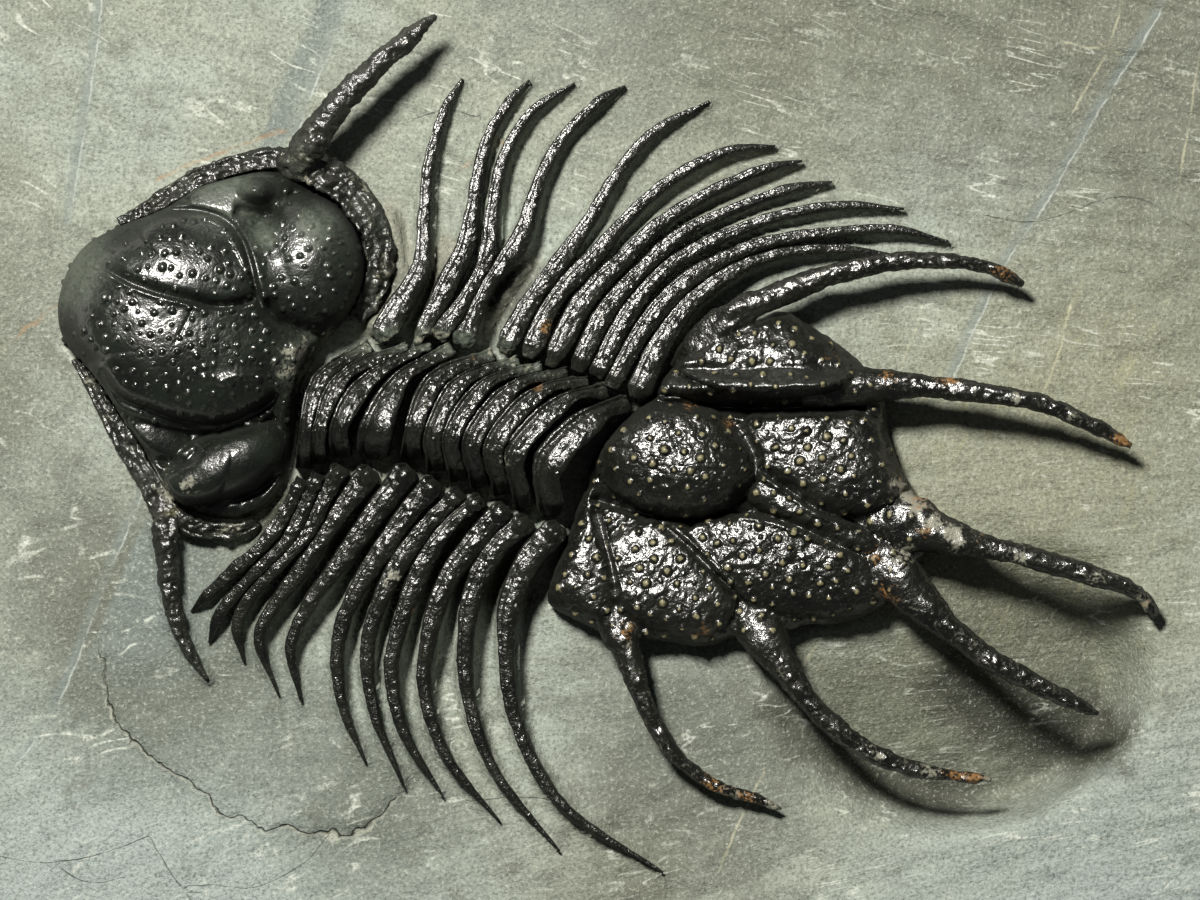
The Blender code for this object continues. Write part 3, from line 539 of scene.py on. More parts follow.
def resample(route, spacing):
    """The same line with its rows an even distance apart."""
    steps = np.linalg.norm(np.diff(route[:, :2], axis=0), axis=1)
    along = np.concatenate([[0], np.cumsum(steps)])
    count = max(4, int(along[-1] / spacing))
    return np.column_stack([
        np.interp(np.linspace(0, along[-1], count), along, column) for column in route.T])


def plan_normals(route):
    """Unit vectors across a route, level with the ground."""
    along = np.gradient(route[:, :2], axis=0)
    along /= np.linalg.norm(along, axis=1)[:, None]
    return np.stack([-along[:, 1], along[:, 0]], axis=1)


def ribbon(route, fullness=1.0):
    """A round-topped bar along rows of (x, y, top, half width, bottom).

    It comes with each point's place across it, from -1 to 1, or nan on its underside.
    """
    over = np.radians(np.linspace(0, 180, CREST_POINTS))
    under = np.radians(np.linspace(180, 360, UNDER_POINTS))
    down = np.linspace(1, 0, WALL_POINTS + 2)[1:-1]
    side = np.concatenate([np.cos(over), -np.ones(WALL_POINTS), np.cos(under), np.ones(WALL_POINTS)])
    crown = np.clip(np.sin(over), 0, None) ** fullness
    rise = np.concatenate([crown, np.zeros(WALL_POINTS), np.sin(under), np.zeros(WALL_POINTS)])
    lift = np.concatenate([np.ones(CREST_POINTS), down, np.zeros(UNDER_POINTS), down[::-1]])
    x, y, top, half, bottom = (column[:, None] for column in route[:, :5].T)
    across = plan_normals(route)
    radius = np.minimum(half * fullness, 0.42 * (top - bottom))
    level = lift * (top - radius) + (1 - lift) * (bottom + radius) + radius * rise
    points = np.stack([x + across[:, :1] * half * side, y + across[:, 1:] * half * side, level], axis=-1)
    rows, count = points.shape[:2]
    a = np.arange((rows - 1) * count).reshape(rows - 1, count)
    b = np.roll(a, -1, axis=1)
    faces = np.stack([a, b, b + count, a + count], axis=-1).reshape(-1, 4).tolist()
    faces.append(list(range(count))[::-1])
    faces.append(list(range((rows - 1) * count, rows * count)))
    side = np.where(rise >= 0, side, np.nan)
    return points.reshape(-1, 3), faces, np.broadcast_to(side, (rows, count)).ravel()


def fuse(piece, *others):
    """Join closed bars to a closed piece, so that the piece stays one skin."""
    for other in others:
        union = piece.modifiers.new("join", "BOOLEAN")
        union.operation, union.solver, union.object = "UNION", "MANIFOLD", other
        view = bpy.context.evaluated_depsgraph_get()
        joined = bpy.data.meshes.new_from_object(piece.evaluated_get(view))
        piece.modifiers.clear()
        piece.data = joined
        bpy.data.objects.remove(other)
    piece.data.shade_smooth()


def soften(piece, places, reach, rounds):
    """Smooth the skin round the places where bars were joined on."""
    points, _ = surface_of(piece)
    pairs = np.empty(len(piece.data.edges) * 2, dtype=np.int32)
    piece.data.edges.foreach_get("vertices", pairs)
    ends = np.concatenate([pairs, pairs.reshape(-1, 2)[:, ::-1].ravel()]).reshape(-1, 2)
    count = np.bincount(ends[:, 0], minlength=len(points))[:, None]
    near = np.zeros(len(points))
    for place in places:
        near = np.maximum(near, np.clip(1.6 * (1 - np.linalg.norm(points - place, axis=1) / reach), 0, 1))
    for _ in range(rounds):
        mean = np.stack([
            np.bincount(ends[:, 0], weights=points[ends[:, 1], k], minlength=len(points))
            for k in range(3)], axis=1) / count
        points += 0.6 * near[:, None] * (mean - points)
    put_surface(piece, points)


def ground_rows(stations):
    """Rows of (x, y, top, half width, bottom) for a band that stands on the rock."""
    return [(x, y, top, half, CLEAR - 0.2) for x, y, top, half in stations]


def spine_rows(stations):
    """Rows of (x, y, top, half width, bottom) for a round spine."""
    return [(x, y, top, half, max(CLEAR - 0.2, top - 2.1 * half)) for x, y, top, half in stations]


def bar(name, rows, spacing, fullness=1.0):
    """One closed bar along a smooth curve through the rows."""
    points, faces, _ = ribbon(resample(smooth_route(rows, 10), spacing), fullness)
    return make_mesh(name, points, faces)


crusty_cuticle = calcite_cuticle(
    "calcite cuticle, crusted with limestone", "#0f100d", "#23241d", roughness=0.4, grain_depth=0.045,
    film=0.8)
for side, rim_line, genal, inward in (
        ("left", LEFT_RIM, LEFT_GENAL, -1), ("right", RIGHT_RIM, RIGHT_GENAL, 1)):
    route = resample(smooth_route(ground_rows(rim_line), 10), CHEEK_STEP)
    points, faces, across = ribbon(route, RIM_FULLNESS)
    half = np.repeat(route[:, 3], len(points) // len(route))
    points[:, 2] += inward * RIM_TILT * np.nan_to_num(across) * half * (points[:, 2] > CLEAR)
    points[:, 2] = np.maximum(points[:, 2], CLEAR - 0.3)
    outer = -inward * across + 0.35 * grain(points, 1.8, 37, 2)
    for place, rise, width in RIM_FOLDS:
        points[:, 2] += rise * np.nan_to_num(np.exp(-(((outer - place) / width) ** 2))) * half
    cheek = make_mesh(f"{side}_cheek", points, faces)
    fuse(cheek, bar(f"{side}_genal_spine", spine_rows(genal), CHEEK_STEP))
    soften(cheek, [GENAL_JOINTS[side]], GENAL_JOINT_REACH, GENAL_JOINT_ROUNDS)
    points, facing = surface_of(cheek)
    crust = np.clip(grain(points, 1.3, 31, 2), 0, 1)
    push = 0.15 * grain(points, 0.8, 32, 2) + 0.2 * crust * grain(points, 0.4, 33, 2)
    push -= 0.28 * np.clip(grain(points, 0.6, 38, 2) - 0.15, 0, 1)
    push += 0.09 * grain(points, 0.26, 34, 2)
    taper = np.clip((points[:, 2] - CLEAR) / 1.2, 0.25, 1)
    on_spine = np.clip((np.abs(points[:, 1] - 7) - 12.5) / 1.5, 0, 1)
    push *= taper * (1 - 0.35 * on_spine)
    put_surface(cheek, points + facing * push[:, None])
    scab = np.clip(grain(points, 1.1, 35, 2), 0, 1)
    paint_marks(
        cheek, tip=0.3 * crust * (1 - on_spine),
        chalk=0.5 * scab * (1 - on_spine) + 0.9 * spots(points, CORNER_CHALK),
        worn=0.35 * np.clip(grain(points, 2.0, 36), 0, 1))
    finish_piece(cheek, crusty_cuticle, "head_shell", f"free_cheek_{side}")


# Thorax: eleven segments, each one strip of cuticle that arches over the axis as a ring and
# runs out on both sides into a long hollow spine bent back towards the tail. The rings overlap
# like roof slates, with a thin raised lip in front and a granular band behind it.
SEGMENT_GAP = 0.03
# Each is its left spine from root to tip, its ring from left to right, and its right spine
THORAX = [
    ([(-14.5, 7.8), (-13.1, 9.9), (-11.9, 12.2), (-11.7, 15.5), (-11.3, 19.5), (-10.2, 23.0), (-9.2, 24.8)],
     [(-15.3, 7.0), (-18.5, 4.8), (-19.5, 1.7), (-19.8, -1.2)],
     [(-20.0, -2.3), (-20.8, -3.9), (-22.4, -6.3), (-24.2, -7.9), (-25.8, -9.3), (-27.3, -10.8)]),
    ([(-11.9, 7.7), (-10.3, 10.7), (-8.9, 13.7), (-8.3, 17.0), (-7.5, 20.7), (-6.0, 23.3), (-4.7, 24.7)],
     [(-12.9, 6.9), (-17.0, 4.9), (-18.6, 1.6), (-18.8, -0.9)],
     [(-18.9, -2.0), (-19.7, -3.9), (-20.9, -6.1), (-22.6, -7.8), (-24.2, -9.5), (-25.5, -11.2),
      (-26.1, -12.9)]),
    ([(-10.5, 7.9), (-9.0, 10.0), (-7.5, 13.0), (-7.1, 16.3), (-6.3, 19.7), (-4.5, 22.6), (-1.7, 24.5)],
     [(-11.4, 7.0), (-15.3, 4.7), (-17.3, 1.5), (-17.3, -0.5)],
     [(-17.4, -1.5), (-18.3, -3.2), (-19.5, -5.6), (-21.5, -7.9), (-23.2, -9.6), (-24.2, -11.7),
      (-23.8, -14.1)]),
    ([(-8.9, 7.7), (-7.4, 11.0), (-5.3, 14.0), (-4.2, 17.3), (-2.7, 20.5), (0.0, 23.3), (1.7, 24.3)],
     [(-9.9, 6.8), (-13.2, 4.7), (-14.9, 1.3), (-15.2, -0.6)],
     [(-15.4, -1.6), (-16.5, -3.1), (-18.1, -5.4), (-19.6, -7.6), (-21.3, -9.8), (-22.7, -12.4),
      (-21.5, -16.3)]),
    ([(-6.1, 7.2), (-4.7, 9.7), (-2.7, 12.5), (-0.7, 15.3), (1.2, 18.5), (3.7, 21.3), (7.3, 23.3)],
     [(-7.1, 6.4), (-10.9, 4.7), (-12.4, 1.2), (-12.6, -0.6)],
     [(-12.9, -1.5), (-14.1, -3.1), (-16.0, -5.7), (-17.6, -7.9), (-19.3, -10.2), (-20.6, -13.0),
      (-20.0, -16.7)]),
    ([(-4.5, 6.8), (-3.0, 10.0), (-0.4, 12.8), (1.7, 15.3), (4.7, 18.0), (8.7, 20.0), (11.7, 20.3)],
     [(-5.4, 6.0), (-9.2, 4.5), (-11.1, 1.0), (-10.9, -1.4)],
     [(-11.2, -2.4), (-12.7, -4.1), (-14.5, -6.7), (-16.2, -9.4), (-17.4, -12.6), (-17.3, -16.6),
      (-15.7, -20.8)]),
    ([(-2.9, 6.4), (-1.0, 10.0), (1.5, 12.6), (4.3, 15.3), (8.0, 17.5), (11.5, 18.9), (13.5, 19.3)],
     [(-3.9, 5.6), (-7.5, 4.4), (-9.9, 0.7), (-9.4, -2.0)],
     [(-9.6, -3.1), (-11.3, -4.8), (-13.1, -7.2), (-14.7, -10.2), (-15.5, -13.3), (-15.1, -17.3),
      (-13.1, -22.5)]),
    ([(-1.2, 6.0), (0.4, 9.2), (2.8, 12.0), (5.5, 14.4), (9.3, 16.2), (13.0, 17.5), (15.5, 17.9)],
     [(-2.2, 5.2), (-5.5, 4.3), (-8.5, 0.5), (-8.0, -2.5)],
     [(-8.2, -3.5), (-9.9, -4.9), (-11.7, -7.6), (-13.1, -11.0), (-13.9, -14.5), (-13.1, -18.8),
      (-10.5, -23.1)]),
    ([(0.0, 5.4), (1.3, 8.0), (3.9, 11.6), (6.7, 13.5), (11.3, 15.4), (16.0, 16.3), (20.3, 16.1)],
     [(-0.8, 4.6), (-3.7, 4.0), (-7.1, 0.2), (-6.5, -3.0)],
     [(-6.6, -4.1), (-8.2, -5.9), (-10.1, -8.6), (-11.3, -12.0), (-11.7, -15.6), (-10.4, -20.2),
      (-6.7, -24.8)]),
    ([(1.1, 4.8), (2.7, 7.8), (5.5, 11.0), (8.0, 12.6), (11.0, 13.8), (15.3, 14.5), (19.8, 14.7),
      (23.3, 13.9)],
     [(0.5, 4.0), (-1.9, 3.5), (-5.6, -0.2), (-5.1, -3.9)],
     [(-5.1, -4.9), (-6.7, -6.4), (-8.2, -8.8), (-8.9, -12.2), (-8.8, -16.3), (-7.0, -21.5),
      (-2.7, -26.8)]),
    ([(2.7, 4.1), (3.9, 6.8), (6.3, 10.0), (9.3, 12.1), (12.2, 13.1), (15.8, 13.4), (19.3, 13.1)],
     [(1.9, 3.2), (0.0, 2.4), (-3.4, -1.0), (-3.3, -4.4)],
     [(-3.0, -5.4), (-4.6, -7.2), (-6.0, -10.2), (-6.2, -13.7), (-5.6, -18.0), (-2.6, -23.6),
      (4.2, -28.2)]),
]
RING_TOPS = [3.0, 5.0, 5.9, 4.4, 2.7]
RING_HALF_WIDTHS = [0.45, 1.5, 1.6, 1.15, 0.5]
RING_FURROW_SHARE = 0.72
RING_TILT = 0.3
RING_FULLNESS = 0.6
SPINE_STATIONS = [0.0, 0.15, 0.33, 0.5, 0.85, 1.0]
SPINE_HALF_WIDTHS = {
    "left": [0.92, 0.88, 0.66, 0.47, 0.33, 0.08], "right": [0.92, 0.9, 0.74, 0.57, 0.38, 0.08]}
SPINE_TOPS = {"left": [3.9, 3.5, 2.8, 2.2, 1.2, 0.6], "right": [3.9, 3.6, 3.3, 2.9, 1.6, 0.6]}
SPINE_DEPTH_RATIO = 2.0
SPINE_FULLNESS = 0.8
NOSE_SHARE = 0.22
THORAX_STEP = 0.12
# The lip along the front of a strip and the groove behind it, as (place across it, width)
LIP, LIP_GROOVE = (-0.82, 0.1), (-0.62, 0.14)
BEAD_RADII = (0.09, 0.2)
BEAD_HEIGHT_SHARE = 0.65
# The knob at the root of each right spine
KNOB_RADIUS, KNOB_HEIGHT = 0.55, 0.2
UPPER_AXIAL_FURROW = [
    (-16.6, 7.2), (-13.5, 7.4), (-10.4, 7.3), (-7.4, 6.8), (-4.9, 5.9), (-1.6, 5.0), (1.6, 3.8)]
THORAX_RUST = [(-3.7, 8.2, 1.1), (-12.2, -10.8, 0.8), (-8.4, 6.1, 0.6), (-4.1, 4.2, 0.7)]
THORAX_CHALK = [
    (-7.0, -2.9, 1.4), (-4.4, -3.9, 1.3), (-2.1, -4.7, 1.2), (-6.4, -0.8, 0.9), (-11.4, 3.3, 0.8),
    (-9.9, 0.6, 0.7), (-13.6, -9.0, 1.4), (-14.0, -8.4, 1.0), (-5.9, -12.0, 1.3), (-9.2, -12.4, 1.0),
    (-12.9, 15.2, 0.7)]


def spine_strip(points, side):
    """Rows of (x, y, top, half width, bottom, root 0 to tip 1), from a rounded root to the tip."""
    root_to_tip = smooth_route(points, 6)
    share = np.linspace(0, 1, len(root_to_tip))
    tops = np.interp(share, SPINE_STATIONS, SPINE_TOPS[side])
    halves = np.interp(share, SPINE_STATIONS, SPINE_HALF_WIDTHS[side])
    floors = np.maximum(CLEAR - 0.25, tops - SPINE_DEPTH_RATIO * halves)
    floors[0] = CLEAR - 0.2
    rows = [(x, y, *rest) for (x, y), *rest in zip(root_to_tip, tops, halves, floors, share)]
    nose = [a + (a - b) * NOSE_SHARE for a, b in zip(*points[:2])]
    return [(*nose, tops[0] - 0.7, 0.45, floors[0], 0.0)] + rows


def ring_strip(ring):
    """The same rows for the arched ring over the axis, thin and low at both ends."""
    furrow = [a + (b - a) * RING_FURROW_SHARE for a, b in zip(ring[2], ring[3])]
    return [
        (x, y, top, half, CLEAR - 0.2, 0.0) for (x, y), top, half in zip(
            ring[:3] + [furrow, ring[3]], RING_TOPS, RING_HALF_WIDTHS)]


def furrow_crust(points):
    """How much of the hard crust is left along the furrow on the left side of the axis."""
    away, _ = line_distance(points[:, :2], UPPER_AXIAL_FURROW)
    return np.exp(-((away / 0.75) ** 2)) * np.clip((-2.5 - points[:, 0]) / 3, 0.25, 1)


def spaced_from(route, neighbours):
    """The route with its half widths cut back to leave the gap to each neighbour."""
    for other in neighbours:
        steps = np.linalg.norm(route[:, None, :2] - other[None, :, :2], axis=2).min(axis=1)
        route[:, 3] = np.minimum(route[:, 3], (steps - SEGMENT_GAP) / 2)
    return route


thorax_cuticle = calcite_cuticle(
    "calcite cuticle, black and ribbed", "#0b0c09", "#191a14", roughness=0.3, grain_depth=0.045, film=1.0)
segment_routes = []
for left, ring, right in THORAX:
    segment_routes.append([
        resample(smooth_route(rows, 10), THORAX_STEP)
        for rows in (spine_strip(left, "left")[::-1], ring_strip(ring), spine_strip(right, "right"))])
footprints = []
for number, routes in enumerate(segment_routes, start=1):
    neighbours = [
        np.vstack(segment_routes[k])[::2] for k in (number - 2, number) if 0 <= k < len(THORAX)]
    strips = []
    for part, (route, is_ring) in enumerate(zip(routes, (0, 1, 0))):
        route = spaced_from(route.copy(), neighbours)
        footprints.append(route)
        points, faces, side = ribbon(route, RING_FULLNESS if is_ring else SPINE_FULLNESS)
        strip = make_mesh(f"strip_{number}_{part}", points, faces)
        points, facing = surface_of(strip)
        count = len(points) // len(route)
        half, taper = (np.repeat(route[:, k], count) for k in (3, 5))
        place = np.nan_to_num(side, nan=9.0)
        if is_ring:
            points[:, 2] += RING_TILT * np.clip(place, -1, 1) * (place < 2) * half
        lip = (0.13 + 0.07 * is_ring) * np.exp(-(((place - LIP[0]) / LIP[1]) ** 2))
        lip += 0.03 * is_ring * np.cos(7 * place + 2 * grain(points, 2.0, number)) * (np.abs(place) < 0.6)
        lip -= (0.08 + 0.14 * is_ring) * np.exp(-(((place - LIP_GROOVE[0]) / LIP_GROOVE[1]) ** 2))
        lip *= np.clip(half / 0.7, 0.2, 1) * np.clip(1.2 - taper, 0, 1)
        seed = 400 + 10 * number + part
        rng = np.random.default_rng(seed)
        steps = np.cumsum(rng.uniform(0.6, 1.8 if is_ring else 3, 400)).astype(int)
        steps = steps[steps < len(route) - 6]
        crest = steps * count + rng.integers(4, 17, len(steps))
        bead_radii = rng.uniform(*BEAD_RADII, len(steps)) * np.clip(1.15 - taper[crest], 0.3, 1)
        push, _ = beads(points, facing, points[crest], bead_radii, BEAD_HEIGHT_SHARE * bead_radii)
        if part == 2:
            root = points[[6 * count + CREST_POINTS // 2]]
            knob, _ = beads(points, facing, root, [KNOB_RADIUS], [KNOB_HEIGHT])
            push += knob
        crust = furrow_crust(points)
        skin = (0.03 + 0.08 * crust) * grain(points, 0.26, seed, 2)
        skin += (0.06 + 0.1 * crust) * grain(points, 1.1, seed + 5, 2)
        push += lip + skin * np.clip(half / 0.45, 0.1, 1)
        put_surface(strip, points + facing * push[:, None])
        strips.append(strip)
    segment = strips[1]
    fuse(segment, strips[0], strips[2])
    segment.name = f"thorax_segment_{number:02d}"
    points, _ = surface_of(segment)
    crust = furrow_crust(points)
    scabs = np.clip(0.9 * crust + 0.6 * spots(points, THORAX_CHALK), 0, 1)
    paint_marks(
        segment, rust=np.clip(0.6 * spots(points, THORAX_RUST), 0, 1), worn=np.clip(crust, 0, 1),
        chalk=scabs * np.clip(0.4 + grain(points, 0.6, 450, 2), 0, 1))
    finish_piece(segment, thorax_cuticle, "thorax_shell", f"thoracic_segment_{number:02d}")


# Tail shield: one plate of fused segments with a swollen axis, a narrow ridge behind it and
# three pairs of long spines that stand clear of the hollowed rock. Its cuticle is jet black and
# wet-looking between tan tubercles, rusty or chalky in spots, and healed with calcite at one root.
TAIL_CENTRE = (8.6, -2.4)
TAIL_OUTLINE = [
    (3.7, 3.9), (4.8, 5.4), (6.7, 6.9), (9.3, 8.2), (12.3, 9.2), (15.0, 7.6), (17.8, 5.4),
    (18.9, 3.2), (19.3, 0.9), (20.2, -1.6), (21.5, -3.7), (21.9, -6.3), (20.5, -8.7),
    (18.7, -10.5), (16.0, -11.5), (13.3, -11.8), (11.0, -12.7), (9.3, -12.5), (6.7, -13.0),
    (3.3, -12.6), (1.3, -12.7), (0.0, -12.1), (-1.8, -11.2), (-3.5, -10.1), (-3.2, -8.4),
    (-2.6, -6.8), (-1.9, -5.2), (-1.4, -3.6), (-0.8, -2.2), (-0.5, -0.6), (0.4, 0.9), (2.0, 2.4),
]
TAIL_LOBES = [
    (4.9, -0.5, 5.6, 4.0, -15.0, 6.5, 0.36, 0.06, -0.1),
    (10.4, 6.2, 6.4, 2.6, -8.0, 4.8, 0.24, 0.1, -0.22),
    (13.1, 6.9, 3.6, 2.0, -36.0, 4.6, 0.3, 0.06, -0.14),
    (14.8, -0.5, 5.9, 3.8, -15.0, 4.9, 0.32, 0.03, -0.08),
    (13.8, -4.4, 6.0, 1.3, -27.0, 4.6, 0.5, 0.0, 0.0),
    (-1.4, -7.5, 2.4, 4.2, 14.0, 3.9, 0.36, 0.05, -0.05),
    (4.6, -8.6, 4.9, 3.6, -30.0, 4.3, 0.36, 0.03, -0.08),
    (12.2, -7.7, 6.9, 3.3, -14.0, 4.6, 0.42, 0.03, 0.1),
]
TAIL_FLOOR = 3.0
TAIL_BLEND = 0.25
TAIL_RIM_LEVEL = 1.0
TAIL_FURROWS = [
    ([(-0.3, 0.2), (1.5, 2.2), (3.9, 3.4), (6.8, 2.7), (8.9, 1.4), (10.3, -0.5), (10.3, -1.9)],
     1.5, 0.6, 0.35, 0.3),
    ([(10.3, -1.9), (9.1, -3.5), (6.7, -4.6), (3.4, -4.4), (0.3, -3.5), (-0.7, -3.2)], 0.9, 1.5, 0.2, 0.5),
    ([(10.2, -1.0), (12.6, -2.7), (14.6, -4.0), (17.2, -4.9), (19.4, -5.9)], 0.8, 0.5, 0.5, 0.14),
    ([(8.9, -4.1), (11.0, -4.4), (13.4, -5.2), (15.6, -6.3), (17.6, -7.2)], 0.8, 0.5, 0.5, 0.14),
    ([(-0.3, -3.6), (0.1, -5.4), (0.7, -7.4), (1.3, -10.6)], 0.6, 0.5, 0.14, 0.3),
    ([(3.7, -4.5), (6.0, -6.5), (8.0, -8.5), (9.2, -9.6), (10.0, -10.9)], 0.7, 0.5, 0.14, 0.3),
    ([(3.0, 3.3), (6.7, 2.95), (10.7, 2.75), (14.6, 2.85), (17.8, 3.0)], 2.2, 1.6, 0.42, 0.38),
    ([(4.3, 5.4), (8.0, 5.35), (12.7, 5.35), (16.2, 5.2)], 0.3, 0.2, 0.35, 0.25),
]
TAIL_EDGES = [
    ([(3.4, 4.2), (8.0, 4.1), (12.7, 4.2), (16.6, 4.25), (20.5, 4.3), (23.5, 4.1)], 1.5, 2.0, 0.85, 0.75),
    ([(10.4, -1.45), (12.7, -3.1), (14.6, -4.4), (17.2, -5.3)], 0.28, 0.22, 0.12, 0.18),
    ([(9.0, -4.45), (11.0, -4.75), (13.4, -5.55), (15.4, -6.55)], 0.28, 0.22, 0.12, 0.18),
    ([(0.0, -3.7), (0.45, -5.4), (1.0, -7.4), (1.5, -9.6)], 0.2, 0.14, 0.12, 0.1),
    ([(4.1, -4.4), (6.3, -6.3), (8.2, -8.2), (9.3, -9.3)], 0.26, 0.18, 0.13, 0.11),
]
# Each row is (x, y, height of the spine's middle, half width), from its root to its tip
TAIL_SPINES = {
    "right_front": [
        (0.7, -9.2, 1.5, 1.0), (1.1, -11.4, 2.1, 1.35), (1.8, -13.4, 2.7, 1.0), (2.6, -15.9, 2.8, 0.66),
        (3.6, -18.2, 2.5, 0.59), (5.2, -20.6, 2.1, 0.53), (7.4, -22.2, 1.6, 0.45), (9.9, -23.1, 1.2, 0.34),
        (11.4, -23.7, 1.0, 0.3), (12.1, -24.0, 0.8, 0.12)],
    "right_middle": [
        (9.8, -9.3, 1.5, 1.3), (10.5, -11.6, 2.3, 1.6), (11.7, -13.6, 2.9, 1.2), (13.2, -15.8, 3.0, 0.82),
        (15.0, -17.9, 2.9, 0.71), (17.6, -19.9, 2.6, 0.64), (20.6, -21.2, 2.1, 0.54),
        (23.4, -21.7, 1.6, 0.4), (25.2, -21.9, 1.3, 0.34), (26.1, -22.0, 1.2, 0.12)],
    "right_rear": [
        (17.0, -6.0, 1.7, 1.7), (19.4, -8.0, 2.5, 1.75), (21.5, -10.2, 3.1, 1.3), (23.6, -12.2, 3.2, 0.84),
        (26.4, -14.2, 3.1, 0.72), (29.2, -15.7, 2.8, 0.62), (31.7, -16.9, 2.4, 0.49),
        (32.6, -17.3, 2.1, 0.44), (33.2, -17.6, 2.0, 0.15)],
    "left_rear": [
        (18.0, -4.2, 1.7, 1.8), (20.6, -4.9, 2.6, 1.9), (22.6, -5.6, 3.2, 1.4), (25.6, -6.4, 3.4, 0.82),
        (29.2, -7.3, 3.3, 0.71), (32.3, -8.2, 3.2, 0.64), (35.0, -9.1, 2.8, 0.54), (36.4, -10.0, 2.2, 0.39),
        (36.8, -10.8, 1.7, 0.42), (36.9, -11.2, 1.5, 0.15)],
    "left_middle": [
        (13.4, 4.0, 2.9, 1.2), (16.4, 4.2, 3.5, 1.3), (18.6, 4.3, 3.8, 1.15), (21.0, 4.3, 4.0, 0.82),
        (24.0, 4.0, 4.2, 0.71), (27.3, 3.5, 4.4, 0.64), (30.0, 2.9, 4.3, 0.57), (32.3, 1.9, 3.8, 0.47),
        (34.6, 0.7, 3.1, 0.4), (35.3, 0.3, 3.0, 0.15)],
    "left_front": [
        (5.4, 5.2, 1.8, 0.9), (7.2, 7.5, 2.7, 1.15), (9.6, 9.3, 3.4, 1.05), (12.2, 10.5, 3.5, 0.8),
        (15.2, 11.6, 3.5, 0.71), (18.8, 12.4, 3.5, 0.63), (22.4, 12.6, 3.3, 0.56), (25.6, 12.2, 2.9, 0.45),
        (27.3, 11.5, 2.5, 0.36), (28.1, 11.1, 2.3, 0.12)],
}
TAIL_CELLS = 240
TAIL_STEP = 0.14
# The edge of the plate: its rise above its underside and its sharpness, and what that gains
# beside a spine
TAIL_RIM_RISE, TAIL_RIM_SHARPNESS, SPINE_RIM_SHARPNESS = 0.4, 16, 60
ROOT_REACH, ROOT_ROUNDS = 1.9, 30
TAIL_BOX = (-4, -13), (22, 10)
LARGE_TUBERCLE_SPACING, LARGE_TUBERCLE_RADII = 1.02, (0.2, 0.36)
SMALL_TUBERCLE_SPACING, SMALL_TUBERCLE_RADII = 0.55, (0.09, 0.16)
SMALL_TUBERCLE_GAP = 0.5
TUBERCLE_EDGE_GAP = 0.4
TAIL_TUBERCLE_HEIGHT_SHARE = 0.7
SPINE_KNOB_RADII, SPINE_KNOB_HEIGHT = (0.14, 0.3), 0.1
WRINKLE_TURN = 0.5
WRINKLED_LOBE = [(10.5, 6.2, 7.0)]
MEND = [(19.9, -2.2), (21.4, -4.2), (23.9, -5.7)]
MEND_HALF_WIDTH = 0.95
# Stains as (x, y, reach, strength)
TAIL_RUST = [
    (7.4, -22.2, 1.6, 0.8), (9.6, -23.1, 1.9, 0.8), (1.6, -12.0, 1.2, 0.9), (23.6, -21.7, 1.6, 0.8),
    (25.2, -22.0, 1.2, 0.8), (34.6, 0.7, 1.3, 1.0), (19.0, 5.0, 1.3, 0.8), (23.2, 4.7, 1.3, 0.9),
    (26.9, 11.9, 1.4, 0.9), (21.2, -3.4, 1.3, 0.8), (21.6, -5.4, 1.0, 0.7), (18.2, -7.0, 1.2, 0.8),
    (19.0, -9.6, 1.5, 0.7), (7.0, -12.1, 1.1, 0.8), (15.6, 6.3, 1.1, 0.6), (8.6, 1.7, 0.8, 0.8),
    (6.0, 3.0, 0.7, 0.8), (36.4, -10.1, 1.0, 0.5), (25.4, -6.0, 0.8, 0.5), (20.0, -2.0, 0.8, 0.7),
]
TAIL_CHALK = [
    (20.2, -7.0, 1.5, 0.8), (9.0, -22.9, 1.5, 0.5), (11.6, -23.8, 0.9, 0.9), (22.0, -21.4, 0.9, 0.8),
    (25.9, -22.0, 0.6, 1.0), (28.0, -7.3, 0.9, 0.6), (36.0, -10.2, 0.9, 0.8), (27.6, 3.4, 0.6, 0.7),
    (31.4, 2.4, 0.5, 0.7), (17.6, -19.9, 0.8, 0.6), (18.6, -20.4, 0.5, 0.7), (1.9, -12.9, 0.8, 0.5),
    (32.9, -8.6, 0.8, 0.5), (10.2, -12.2, 0.9, 0.4),
]


def tail_height(xy):
    """Height of the tail shield above the rock, before its edge and its grain."""
    height = swell(xy, TAIL_LOBES, TAIL_FLOOR, TAIL_BLEND)
    return height - crease(xy, TAIL_FURROWS) + crease(xy, TAIL_EDGES)


xy, share, faces, rim = stretched_grid(TAIL_OUTLINE, TAIL_CENTRE, TAIL_CELLS, TAIL_CELLS)
beside_spine = np.zeros(len(xy))
for stations in TAIL_SPINES.values():
    for station in stations[:3]:
        beside_spine = np.maximum(beside_spine, np.clip(2 * nearness(xy, station[:2], 2.2), 0, 1))
height = roll_edge(
    tail_height(xy), share, TAIL_RIM_LEVEL + TAIL_RIM_RISE,
    TAIL_RIM_SHARPNESS + SPINE_RIM_SHARPNESS * beside_spine)
points, faces = close_below(
    np.column_stack([xy, height]), faces, rim,
    [(1.0, TAIL_RIM_LEVEL), (0.94, CLEAR + 0.2), (0.86, CLEAR - 0.25)])
tail = make_mesh("tail_shield", points, faces)
roots = []
for place, stations in TAIL_SPINES.items():
    rows = [(x, y, middle + half, half, middle - half) for x, y, middle, half in stations]
    fuse(tail, bar(f"tail_spine_{place}", rows, TAIL_STEP))
    roots += [row[:3] for row in rows[1:3]]
soften(tail, roots, ROOT_REACH, ROOT_ROUNDS)
points, facing = surface_of(tail)


